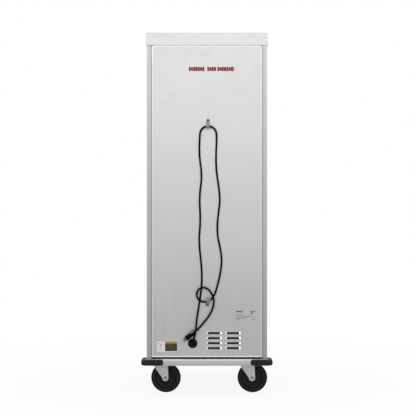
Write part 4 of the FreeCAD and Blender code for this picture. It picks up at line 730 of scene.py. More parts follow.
@dataclass(frozen=True)
class Lit(Finish):
    """A lens or a digit that glows with its own colour."""

    glow: float = 1.0

    def build(self) -> bpy.types.Material:
        """Wires a mottled glow under a glossy skin.

        Returns:
            The finished material.
        """
        material, w, shader, place = self.start()
        marks = self.effect(w, "handling_marks", place, Scale=90.0)
        colour = w.between(marks.outputs["Cloud"], self.tone(0.8), self.tone())
        w.link(colour, shader.inputs["Base Color"])
        w.link(colour, shader.inputs["Emission Color"])
        shader.inputs["Emission Strength"].default_value = self.glow
        return material


@dataclass(frozen=True)
class Wool(Finish):
    """Matted mineral wool board."""

    def build(self) -> bpy.types.Material:
        """Wires tangled fibres into colour and relief.

        Returns:
            The finished material.
        """
        material, w, shader, place = self.start()
        fibres = w.noise(place, 260.0, 8.0, Distortion=2.0)
        w.link(w.between(fibres, self.tone(0.75), self.tone()), shader.inputs["Base Color"])
        self.relief(w, shader, fibres, 0.0015, 0.7)
        return material


PANEL_STEEL = LouvredSteel("panel_steel", (0.83, 0.83, 0.83), 0.44)
SHELL_STEEL = BrushedSteel("shell_steel", (0.83, 0.83, 0.83), 0.42)
POST_STEEL = PostSteel("post_steel", (0.78, 0.78, 0.78), 0.44)
CAP_STEEL = BrushedSteel("cap_steel", (0.825, 0.825, 0.825), 0.42, grain=Grain.ACROSS)
BASE_STEEL = PanSteel("base_steel", (0.87, 0.87, 0.87), 0.42, grain=Grain.ACROSS)
LINER_STEEL = BrushedSteel("liner_steel", (0.6, 0.6, 0.605), 0.34)
FLOOR_STEEL = BrushedSteel("liner_floor_steel", (0.6, 0.6, 0.605), 0.34, grain=Grain.DEEP)
ZINC = PlatedSteel("zinc_plate", (0.83, 0.83, 0.835), 0.42, contrast=0.025)
RIB_ZINC = PlatedSteel("rib_zinc", (0.85, 0.85, 0.855), 0.42, contrast=0.02)
STRAP_ZINC = PlatedSteel("strap_zinc", (0.5, 0.5, 0.505), 0.4, contrast=0.03)
HOOK_ZINC = PlatedSteel("hook_zinc", (0.57, 0.57, 0.575), 0.4)
SCREW_ZINC = PlatedSteel("screw_zinc", (0.32, 0.32, 0.32), 0.38)
AXLE_STEEL = PlatedSteel("axle_steel", (0.63, 0.63, 0.64), 0.35)
BRIGHT_ZINC = PlatedSteel("bright_zinc", (0.82, 0.82, 0.83), 0.25)
CHROME = PlatedSteel("chrome_wire", (0.86, 0.86, 0.87), 0.12, scale=60.0, contrast=0.02)
NICKEL = PlatedSteel("nickel_blade", (0.52, 0.515, 0.5), 0.3, scale=300.0, contrast=0.03)
CAST = PlatedSteel("cast_aluminium", (0.72, 0.73, 0.74), 0.5, scale=400.0, contrast=0.1)
ENAMEL = Moulded("motor_enamel", (0.12, 0.12, 0.13), 0.35, scale=500.0, coat=0.3)
BLACK_PLASTIC = Moulded("black_plastic", (0.1, 0.1, 0.1), 0.42)
GLAND_PLASTIC = Moulded("gland_plastic", (0.012, 0.012, 0.013), 0.3, dust=0.008, shine=0.1)
CORD_RUBBER = Moulded("cord_rubber", (0.014, 0.014, 0.014), 0.6, scale=1500.0, dust=0.006, shine=0.08)
BUMPER_RUBBER = Moulded("bumper_rubber", (0.085, 0.085, 0.085), 0.55, scale=700.0, dust=0.04, shine=0.3)
TYRE_RUBBER = Moulded("tyre_rubber", (0.08, 0.08, 0.08), 0.6, scale=500.0, dust=0.05, shine=0.22)
WHEEL_PLASTIC = Moulded("wheel_plastic", (0.078, 0.078, 0.078), 0.5, scale=700.0, dust=0.04, shine=0.2)
RING_RUBBER = Moulded("ring_rubber", (0.2, 0.2, 0.2), 0.5, scale=500.0, dust=0.1)
SEAL_RUBBER = Moulded("seal_rubber", (0.33, 0.33, 0.34), 0.6)
RED_PRINT = Printed("red_print", (0.56, 0.03, 0.05), 0.5)
AMBER_PRINT = Printed("amber_print", (0.7, 0.52, 0.17), 0.45)
DARK_PRINT = Printed("dark_print", (0.08, 0.08, 0.085), 0.45)
GREY_PRINT = Printed("grey_print", (0.42, 0.42, 0.43), 0.45)
PALE_PRINT = Printed("pale_print", (0.82, 0.82, 0.81), 0.45)
PALE_FILM = Printed("pale_film", (0.95, 0.915, 0.91), 0.4)
SOFT_PRINT = Printed("soft_print", (0.56, 0.56, 0.57), 0.45)
DISPLAY_LENS = Moulded("display_lens", (0.05, 0.035, 0.035), 0.12, coat=0.6)
GLASS = ClearGlass("clear_glass", (0.955, 0.968, 0.965), 0.0)
AMBER_LENS = Lit("amber_lens", (0.95, 0.5, 0.1), 0.2, glow=0.6)
RED_DIGIT = Lit("red_digit", (1.0, 0.16, 0.1), 0.3, glow=1.6)
MINERAL_WOOL = Wool("mineral_wool", (0.83, 0.77, 0.55), 0.95)

NODES_BY_FINISH: tuple[tuple[Finish, tuple[str, ...]], ...] = (
    (BASE_STEEL, ("base_frame",)),
    (POST_STEEL, ("rear_post_left", "rear_post_right")),
    (CAP_STEEL, ("top_cap",)),
    (PANEL_STEEL, ("rear_panel",)),
    (SHELL_STEEL, ("side_panel_left", "side_panel_right", "front_frame", "control_fascia", "door_skin")),
    (LINER_STEEL, ("liner_left", "liner_right", "liner_back", "shelf_pilasters", "door_inner_panel")),
    (FLOOR_STEEL, ("liner_top", "liner_floor")),
    (MINERAL_WOOL, ("insulation_boards", "door_insulation")),
    (CHROME, ("wire_shelf_1", "wire_shelf_2", "wire_shelf_3")),
    (BRIGHT_ZINC, ("shelf_clips", "thermostat_bulb", "door_handle")),
    (ZINC, ("blower_housing", "heating_element", "door_hinge_leaves", "frame_hinge_leaves")),
    (ZINC, ("caster_plates", *(f"caster_fork_{corner}" for corner in CORNERS))),
    (ZINC, tuple(f"brake_pedal_{corner}" for corner in BRAKED)),
    (ENAMEL, ("blower_motor",)),
    (CAST, ("blower_wheel",)),
    (BLACK_PLASTIC, ("thermostat_body", "thermostat_dial", "switch_body", "rocker_switch")),
    (BLACK_PLASTIC, ("temperature_display", "catch_magnets")),
    (AMBER_LENS, ("pilot_light",)),
    (GLAND_PLASTIC, ("cord_gland",)),
    (CORD_RUBBER, ("power_cord", "plug_body")),
    (NICKEL, ("plug_blades",)),
    (SCREW_ZINC, ("hook_screws",)),
    (HOOK_ZINC, ("cord_hook_upper", "cord_hook_lower")),
    (STRAP_ZINC, ("plug_hook",)),
    (GLASS, ("door_panes",)),
    (SEAL_RUBBER, ("door_gasket",)),
    (BUMPER_RUBBER, ("corner_bumpers",)),
    (TYRE_RUBBER, tuple(f"caster_wheel_{corner}" for corner in CORNERS)),
)


# ---------------------------------------------------------------- mesh calls


def soften(bm: Mesh, edges: list, width: float, steps: int) -> None:
    """Rounds edges off in a number of steps."""
    bmesh.ops.bevel(bm, geom=edges, offset=width, affect="EDGES", segments=steps, profile=0.5, material=-1)


def slab(bm: Mesh, low: Triple, high: Triple, edge: float = 0.0, steps: int = 2) -> list:
    """Adds a block with softened edges.

    Args:
        bm: the mesh that it joins.
        low: its lowest corner.
        high: its highest corner.
        edge: the width of the soft edges.
        steps: faces across each soft edge.

    Returns:
        The block's vertices before its edges are softened.
    """
    middle = (Vector(low) + Vector(high)) / 2
    reach = Vector(high) - Vector(low)
    matrix = Matrix.Translation(middle) @ Matrix.Diagonal((*reach, 1.0))
    verts = bmesh.ops.create_cube(bm, size=1.0, matrix=matrix)["verts"]
    if edge:
        soften(bm, list({e for v in verts for e in v.link_edges}), edge, steps)
    return verts


def facing(origin: Triple, way: Triple) -> Matrix:
    """The matrix of a frame at an origin, whose +Z looks along a direction."""
    turn = Vector(way).to_track_quat("Z", "Y").to_matrix().to_4x4()
    return Matrix.Translation(Vector(origin)) @ turn


def turned(bm: Mesh, profile: Iterable[Pair], place: Matrix, steps: int = 48) -> None:
    """Spins a half section about a frame's Z, and closes it where it meets the axis.

    Args:
        bm: the mesh that it joins.
        profile: radius and height of each point, in order.
        place: the frame whose Z is the axis.
        steps: faces round the axis.
    """
    points = [bm.verts.new((radius, 0.0, height)) for radius, height in profile]
    edges = [bm.edges.new(pair) for pair in zip(points, points[1:])]
    bmesh.ops.spin(
        bm,
        geom=points + edges,
        cent=(0.0, 0.0, 0.0),
        axis=(0.0, 0.0, 1.0),
        angle=math.tau,
        steps=steps,
        use_merge=True,
    )
    whole = set()
    heap = list(points)
    while heap:
        vert = heap.pop()
        if vert in whole:
            continue
        whole.add(vert)
        heap.extend(e.other_vert(vert) for e in vert.link_edges)
    bmesh.ops.transform(bm, matrix=place, verts=list(whole))
    bmesh.ops.remove_doubles(bm, verts=list(whole), dist=1e-6)


def closed(bm: Mesh) -> None:
    """Closes open rims and turns every face outwards.

    Args:
        bm: the mesh that it changes.
    """
    rims = [e for e in bm.edges if e.is_boundary]
    if rims:
        bmesh.ops.holes_fill(bm, edges=rims, sides=0)
    bmesh.ops.recalc_face_normals(bm, faces=bm.faces[:])


def batch(
    name: str,
    finish: Finish,
    draw: Draw,
    body: str = "cabinet",
    smooth: float | None = 35.0,
    replaces: tuple[str, ...] = (),
) -> bpy.types.Object:
    """Draws into a new mesh and finishes it as one piece of the cabinet.

    Args:
        name: the piece's name.
        finish: its finish.
        draw: adds the geometry to the mesh that it is given.
        body: the moving body that it rides on.
        smooth: faces that meet at less than this many degrees are shaded smooth.
        replaces: nodes that it stands for.

    Returns:
        The new object.
    """
    bm = bmesh.new()
    draw(bm)
    closed(bm)
    mesh = bpy.data.meshes.new(name)
    bm.to_mesh(mesh)
    bm.free()
    if smooth is not None:
        mesh.shade_smooth()
        mesh.set_sharp_from_angle(angle=math.radians(smooth))
    made = bpy.data.objects.new(name, mesh)
    bpy.context.scene.collection.objects.link(made)
    mesh.materials.append(finish.material())
    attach(made, body)
    if replaces:
        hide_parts(*replaces)
    LOG.info("%s on %s: %d faces", name, body, len(mesh.polygons))
    return made


def two_sided(side: list[Pair]) -> list[Pair]:
    """Closes a section from its points on one side and their mirror image on the other."""
    return [*side, *((radius, -height) for radius, height in reversed(side)), side[0]]


def pan_head(bm: Mesh, place: Matrix, radius: float, height: float) -> None:
    """Adds a domed screw head with a round driver recess at its seat's frame, standing up along Z."""
    dome = ((1.0, 0.0), (1.0, 0.35), (0.86, 0.75), (0.55, 0.97), (0.32, 1.0), (0.26, 0.45), (0.0, 0.4))
    turned(bm, [(radius * out, height * up) for out, up in dome], place, steps=16)


# ---------------------------------------------------------------- studio


@dataclass
class Studio:
    """Floor, soft lamps, pale surroundings and the camera behind the cabinet."""

    eye: Triple = (-0.0055, 5.778, 0.945)
    lens: float = 92.2
    surround: float = 0.8
    mirrored: float = 0.9
    floor_colour: float = 0.8
    floor_mirrored: float = 0.55
    floor_glow: float = 0.9
    floor_reach: float = 14.0
    shadow_reach: Pair = (0.45, 2.2)
    lamps: tuple[tuple[str, Triple, Triple, Pair, float], ...] = (
        ("rear_bank", (0.0, 6.6, 4.0), (0.0, 0.4, 1.2), (6.0, 3.2), 80.0),
        ("front_bank", (0.0, -6.6, 4.0), (0.0, -0.3, 1.2), (6.0, 3.2), 85.0),
        ("left_bank", (-6.0, 0.0, 3.6), (0.0, 0.0, 1.0), (3.6, 2.6), 60.0),
        ("right_bank", (6.0, 0.0, 3.6), (0.0, 0.0, 1.0), (3.6, 2.6), 60.0),
    )

    def build(self) -> None:
        """Sets up the whole studio."""
        self.place_camera()
        self.light()
        self.lay_floor()
        bpy.context.scene.view_settings.view_transform = "Standard"

    def place_camera(self) -> None:
        """Puts the camera level behind the cabinet, looking at the service panel."""
        data = bpy.data.cameras.new("camera")
        data.lens = self.lens
        data.sensor_width = 36.0
        camera = bpy.data.objects.new("camera", data)
        camera.location = self.eye
        camera.rotation_euler = (math.pi / 2, 0.0, math.pi)
        bpy.context.scene.collection.objects.link(camera)
        bpy.context.scene.camera = camera

    def light(self) -> None:
        """Adds the lamps and the pale surroundings."""
        for name, spot, aim, sides, power in self.lamps:
            data = bpy.data.lights.new(name, "AREA")
            data.shape = "RECTANGLE"
            data.size, data.size_y = sides
            data.energy = power
            lamp = bpy.data.objects.new(name, data)
            lamp.location = spot
            way = Vector(aim) - Vector(spot)
            lamp.rotation_euler = way.to_track_quat("-Z", "Y").to_euler()
            bpy.context.scene.collection.objects.link(lamp)
        world = bpy.data.worlds.new("surroundings")
        bpy.context.scene.world = world
        world.use_nodes = True
        w = Wiring(world.node_tree)
        world.node_tree.nodes.clear()
        sky, seen, mirrored = (w.node("ShaderNodeBackground") for _ in range(3))
        sky.inputs["Strength"].default_value = self.surround
        seen.inputs["Color"].default_value = (1.0, 1.0, 1.0, 1.0)
        mirrored.inputs["Strength"].default_value = self.mirrored
        direct, glossy = self.rays(w)
        shown = w.blend_shaders(glossy, sky.outputs[0], mirrored.outputs[0])
        shown = w.blend_shaders(direct, shown, seen.outputs[0])
        w.link(shown, w.node("ShaderNodeOutputWorld").inputs["Surface"])

    def rays(self, w: Wiring) -> tuple[Socket, Socket]:
        """Masks of the rays that see a surface directly, also through glass, and of mirrored ones."""
        ray = w.node("ShaderNodeLightPath").outputs
        return w.maths("MAXIMUM", ray["Is Camera Ray"], ray["Is Transmission Ray"]), ray["Is Glossy Ray"]

    def lay_floor(self) -> None:
        """Lays a plain pale floor that keeps the cabinet's shadow."""
        bm = bmesh.new()
        bmesh.ops.create_grid(bm, x_segments=1, y_segments=1, size=self.floor_reach)
        mesh = bpy.data.meshes.new("floor")
        bm.to_mesh(mesh)
        bm.free()
        floor = bpy.data.objects.new("floor", mesh)
        bpy.context.scene.collection.objects.link(floor)
        material = bpy.data.materials.new("floor_paint")
        material.use_nodes = True
        w = Wiring(material.node_tree)
        shader = material.node_tree.nodes["Principled BSDF"]
        tone = self.floor_colour
        shader.inputs["Base Color"].default_value = (tone, tone, tone, 1.0)
        shader.inputs["Roughness"].default_value = 0.9
        reach = w.node("ShaderNodeVectorMath", operation="LENGTH")
        w.link(w.node("ShaderNodeTexCoord").outputs["Object"], reach.inputs[0])
        near, far = self.shadow_reach
        share = w.ramp(reach.outputs["Value"], near, far)
        share = w.plus(w.times(share, 1 - self.floor_glow), self.floor_glow)
        direct, glossy = self.rays(w)
        shown = shader.outputs[0]
        for mask, strength in ((glossy, self.floor_mirrored), (w.times(direct, share), 1.0)):
            glow = w.node("ShaderNodeEmission")
            glow.inputs["Strength"].default_value = strength
            shown = w.blend_shaders(mask, shown, glow.outputs[0])
        sink = material.node_tree.nodes["Material Output"]
        w.link(shown, sink.inputs["Surface"])
        mesh.materials.append(material)


# ---------------------------------------------------------------- service panel


@dataclass
class ServicePanel:
    """The rear panel's stickers and print, all generic. Each mark: left, right, low and high."""

    face: float = PANEL_FACE
    film: float = 0.0004
    print_film: float = 0.00015
    corner: float = 0.0012
    strip_spans: tuple[Pair, ...] = ((0.0917, 0.0105), (-0.002, -0.047), (-0.053, -0.137))
    strip_height: Pair = (1.6385, 1.6605)
    blocks: tuple[Pair, ...] = ((0.0085, 0.0), (0.0115, 0.0022), (0.0098, 0.0), (0.0125, 0.0012))
    block_gap: float = 0.0011
    shortest_block: float = 0.004
    label: Quad = (0.1495, 0.2532, 0.2163, 0.2690)

    def bars(self, name: str, finish: Finish, slot: str, marks: Iterable[Quad], lift: float) -> None:
        """Adds printed bars on the panel or on a film.

        Args:
            name: the piece's name.
            finish: their finish.
            slot: not used.
            marks: left, right, low and high of each bar.
            lift: how far off the panel they start.
        """
        def draw(bm: Mesh) -> None:
            """Draws every bar.

            Args:
                bm: the mesh that it joins.
            """
            for left, right, low, high in marks:
                near, far = sorted((left, right))
                slab(bm, (near, self.face + lift, low), (far, self.face + lift + self.print_film, high))

        batch(name, finish, draw, smooth=None)

    def build(self) -> None:
        """Adds the red strip, the rating print and the small coloured label."""
        self.red_strip()
        self.rating_print()
        self.label_film()
        self.label_print()

    def red_strip(self) -> None:
        """A row of plain red blocks of uneven lengths."""
        marks = []
        low, high = self.strip_height
        for x, last in self.strip_spans:
            turn = 0
            while x > last + self.shortest_block:
                width, dip = self.blocks[turn % len(self.blocks)]
                end = max(x - width, last)
                marks.append((x, end, low + dip, high - dip))
                x = end - self.block_gap
                turn += 1
        self.bars("red_strip", RED_PRINT, "amber_lens", marks, 0.0)

    def rating_print(self) -> None:
        """Plain dark bars over uneven grey lines, printed on the panel."""
        dark = [
            (-0.1478, -0.1800, 0.4162, 0.4238), (-0.2200, -0.2310, 0.4175, 0.4238),
            (-0.2230, -0.2308, 0.4065, 0.4175), (-0.2358, -0.2448, 0.4155, 0.4238),
        ]
        self.bars("rating_bars", GREY_PRINT, "black_plastic", dark, 0.0)
        rows = (0.4032, 0.3992, 0.3928, 0.3885, 0.3830, 0.3785)
        lines = [(-0.1462, -0.1665, z, z + 0.0022) for z in rows]
        lines += [
            (-0.1690, -0.1835, 0.4012, 0.4052), (-0.1685, -0.2030, 0.3958, 0.3978),
            (-0.2035, -0.2235, 0.3938, 0.3972), (-0.2275, -0.2372, 0.3948, 0.3978),
            (-0.1680, -0.1915, 0.3912, 0.3930), (-0.1935, -0.2035, 0.3888, 0.3932),
            (-0.1685, -0.1765, 0.3828, 0.3882), (-0.1832, -0.1912, 0.3825, 0.3882),
            (-0.2262, -0.2345, 0.3788, 0.3832), (-0.2368, -0.2440, 0.3788, 0.3838),
        ]
        self.bars("rating_lines", SOFT_PRINT, "black_plastic", lines, 0.0)

    def label_film(self) -> None:
        """The small label's pale film."""
        near, far, low, high = self.label

        def draw(bm: Mesh) -> None:
            """Draws the film with rounded corners.

            Args:
                bm: the mesh that it joins.
            """
            verts = slab(bm, (near, self.face, low), (far, self.face + self.film, high))
            deep = [e for e in {e for v in verts for e in v.link_edges}
                    if abs(e.verts[0].co.y - e.verts[1].co.y) > self.film / 2]
            soften(bm, deep, self.corner, 3)

        batch("coloured_label", PALE_FILM, draw)

    def label_print(self) -> None:
        """The label's amber band, its dark block with plain lines, and a few flecks."""
        top = self.film
        self.bars("label_band", AMBER_PRINT, "amber_lens", [(0.2118, 0.1512, 0.2572, 0.2680)], top)
        self.bars("label_block", DARK_PRINT, "black_plastic", [(0.2118, 0.1512, 0.2196, 0.2572)], top)
        pitch, indent = 0.0058, 0.005
        rows = [(0.2060, 0.1570 + indent * (row % 2), 0.2232 + pitch * row, 0.2247 + pitch * row)
                for row in range(6)]
        self.bars("label_lines", GREY_PRINT, "black_plastic", rows, top + self.print_film)
        flecks = [
            (0.2445, 0.2330, 0.2560, 0.2578), (0.2370, 0.2290, 0.2530, 0.2552),
            (0.2338, 0.2312, 0.2400, 0.2510), (0.2400, 0.2380, 0.2330, 0.2400),
            (0.2320, 0.2300, 0.2260, 0.2330),
        ]
        self.bars("label_flecks", DARK_PRINT, "black_plastic", flecks, top)


# ---------------------------------------------------------------- mains cord


@dataclass
class MainsCord:
    """Gland sleeve, cord and plug behind the cabinet.

    Route points: x, off the panel and z, in mm. Plug sections: how far along, half the width both ways,
    and how square, from 2 for an ellipse upwards. Plug ribs: half of their lengths.
    """

    diameter: float = 0.0095
    boot_root: Triple = (72.2, 8.5, 258.9)
    route: tuple[Triple, ...] = (
        (64.6, 25.5, 288.0), (59.4, 31.5, 312.0), (55.2, 31.0, 341.0), (52.4, 21.5, 374.0),
        (46.5, 12.5, 414.0), (38.5, 8.4, 462.0), (31.0, 7.4, 512.0), (26.0, 7.2, 566.0),
        (25.6, 7.5, 622.0), (31.0, 8.0, 684.0), (37.5, 8.3, 742.0), (39.5, 8.2, 798.0),
        (34.0, 7.7, 858.0), (33.8, 7.4, 914.0), (37.2, 7.6, 972.0), (35.0, 8.0, 1030.0),
        (27.5, 8.2, 1086.0), (28.5, 8.0, 1140.0), (37.0, 7.8, 1196.0), (38.6, 8.2, 1250.0),
        (36.6, 9.8, 1296.0), (35.5, 11.8, 1328.9), (24.3, 13.4, 1348.4), (4.8, 14.0, 1359.6),
        (-17.8, 14.0, 1359.6), (-37.3, 13.2, 1348.4), (-48.5, 11.4, 1328.9), (-49.6, 9.4, 1290.0),
        (-46.6, 8.2, 1236.0), (-45.6, 7.8, 1176.0), (-49.5, 8.0, 1118.0), (-60.5, 8.4, 1050.0),
        (-66.5, 8.2, 988.0), (-60.0, 7.8, 930.0), (-52.5, 7.6, 868.0), (-53.0, 8.0, 806.0),
        (-65.0, 8.4, 752.0), (-75.5, 8.6, 694.0), (-72.5, 8.6, 640.0), (-62.0, 8.8, 586.0),
        (-49.5, 9.0, 540.0), (-39.5, 9.2, 506.0), (-22.5, 9.4, 481.5), (3.5, 12.0, 468.0),
        (31.0, 19.0, 472.5), (49.5, 23.5, 491.0), (52.5, 25.0, 517.0), (38.8, 24.7, 538.3),
        (15.0, 24.4, 545.0), (-6.5, 24.0, 535.2), (-20.5, 23.7, 518.5), (-31.0, 23.5, 498.5),
        (-35.8, 22.5, 474.0), (-32.5, 20.0, 447.5), (-22.0, 18.0, 419.5), (-5.0, 16.5, 391.0),
        (16.5, 15.7, 365.0), (35.0, 15.4, 343.0), (50.1, 15.6, 325.7),
    )
    neck: Triple = (62.9, 15.6, 316.1)
    hidden: float = 0.020
    sleeve: float = 0.033
    sleeve_rings: int = 7
    plug_way: Triple = (0.7997, 0.0, -0.6004)
    plug_sections: tuple[Quad, ...] = (
        (0.000, 0.0058, 0.0058, 2.0), (0.0015, 0.0076, 0.0084, 2.0), (0.006, 0.0084, 0.0096, 2.2),
        (0.013, 0.0093, 0.0105, 2.5), (0.020, 0.0102, 0.0111, 3.0), (0.028, 0.0112, 0.0115, 3.6),
        (0.036, 0.0121, 0.0118, 4.4), (0.044, 0.0128, 0.0120, 5.5), (0.0505, 0.0131, 0.0121, 7.0),
        (0.0522, 0.0130, 0.0119, 7.0), (0.0530, 0.0123, 0.0112, 7.0),
    )
    plug_ribs: Triple = (0.0076, 0.0086, 0.0092)
    rib_start: float = 0.031
    rib_pitch: float = 0.005
    rib_height: float = 0.0022
    rib_edge: float = 0.0004

    def spot(self, point: Triple) -> Vector:
        """A route point in metres."""
        return Vector((point[0] / 1000, PANEL_FACE + point[1] / 1000, point[2] / 1000))

    def build(self) -> None:
        """Builds the sleeve, the plug and the cord between them."""
        sleeve = self.strain_relief()
        plug = self.plug()
        self.cord()

    def cord(self) -> None:
        """Lays the cord along its route as one smooth line.
        """
        way = (self.spot(self.route[0]) - self.spot(self.boot_root)).normalized()
        start = self.spot(self.boot_root) + way * self.hidden
        points = [start] + [self.spot(p) for p in self.route] + [self.spot(self.neck)]
        data = bpy.data.curves.new("mains_cord", "CURVE")
        data.dimensions = "3D"
        line = data.splines.new("NURBS")
        line.points.add(len(points) - 1)
        for control, point in zip(line.points, points):
            control.co = (*point, 1.0)
        line.order_u = 3
        line.use_endpoint_u = True
        line.resolution_u = 8
        data.bevel_depth = self.diameter / 2
        data.bevel_resolution = 5
        data.use_fill_caps = True
        data.materials.append(CORD_RUBBER.material())
        made = bpy.data.objects.new("mains_cord", data)
        bpy.context.scene.collection.objects.link(made)
        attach(made, "cabinet")
        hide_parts("power_cord")

    def strain_relief(self) -> bpy.types.Object:
        """A tapered sleeve with rings where the cord leaves the gland.

        Returns:
            The sleeve.
        """
        root = self.spot(self.boot_root)
        way = self.spot(self.route[0]) - root

        def draw(bm: Mesh) -> None:
            """Draws the sleeve's ringed taper.

            Args:
                bm: the mesh that it joins.
            """
            last = self.sleeve_rings - 1
            profile = [(0.0, 0.0), (0.0114, 0.0), (0.0114, 0.004)]
            for ring in range(self.sleeve_rings):
                along = 0.006 + (self.sleeve - 0.008) * ring / last
                radius = 0.0112 - 0.0052 * ring / last
                profile += [(radius, along - 0.0012), (radius, along + 0.0006),
                            (radius - 0.0009, along + 0.0012), (radius - 0.0010, along + 0.0022)]
            profile += [(0.0052, self.sleeve), (0.0, self.sleeve)]
            turned(bm, profile, facing(tuple(root), tuple(way)), steps=32)

        return batch("strain_relief", GLAND_PLASTIC, draw)

    def plug(self) -> bpy.types.Object:
        """A moulded plug that widens from a round neck to a squarish face with grip ribs.

        Returns:
            The plug's moulding.
        """
        place = facing(tuple(self.spot(self.neck)), self.plug_way)

        def draw(bm: Mesh) -> None:
            """Draws the moulding ring by ring, then its ribs.

            Args:
                bm: the mesh that it joins.
            """
            ring = bmesh.ops.create_circle(bm, cap_ends=True, segments=40, radius=1.0)["verts"]
            edges = bm.edges[:]
            rings = []
            for along, wide, deep, square in self.plug_sections:
                if rings:
                    made = bmesh.ops.extrude_edge_only(bm, edges=edges)["geom"]
                    ring = [g for g in made if isinstance(g, bmesh.types.BMVert)]
                    edges = [g for g in made if isinstance(g, bmesh.types.BMEdge)
                             and all(v in ring for v in g.verts)]
                for vert in ring:
                    angle = math.atan2(vert.co.y, vert.co.x)
                    x, y = math.cos(angle), math.sin(angle)
                    stretch = (abs(x) ** square + abs(y) ** square) ** (-1 / square)
                    vert.co = (x * stretch, y * stretch, along)
                rings.append((ring, wide, deep))
            for ring, wide, deep in rings:
                for vert in ring:
                    vert.co.x *= wide
                    vert.co.y *= deep
            for rib, half in enumerate(self.plug_ribs):
                low = self.rib_start + self.rib_pitch * rib
                for side in (-1, 1):
                    deep = side * (0.0110 + 0.0003 * rib)
                    near, far = (-half, deep - 0.0006, low), (half, deep + 0.0006, low + self.rib_height)
                    slab(bm, near, far, self.rib_edge)
            bmesh.ops.transform(bm, matrix=place, verts=bm.verts[:])

        return batch("plug_moulding", CORD_RUBBER, draw, smooth=50.0,
                     replaces=("plug_body",))


# ---------------------------------------------------------------- hooks and shell


@dataclass
class HookScrews:
    """Pan-head screws that hold the hooks. Each spot: x, z in metres."""

    spots: tuple[Pair, ...] = ((-0.00595, 1.38863), (-0.00239, 0.45471), (0.06366, 0.30379))
    radius: float = 0.0042
    height: float = 0.0024
    strap: float = 0.003

    def build(self) -> None:
        """Adds the three heads in place of the plain ones."""
        def draw(bm: Mesh) -> None:
            """Draws every head on its strap."""
            for x, z in self.spots:
                pan_head(bm, facing((x, PANEL_FACE + self.strap, z), (0, 1, 0)), self.radius, self.height)

        batch("hook_screw_heads", SCREW_ZINC, draw, replaces=("hook_screws",))


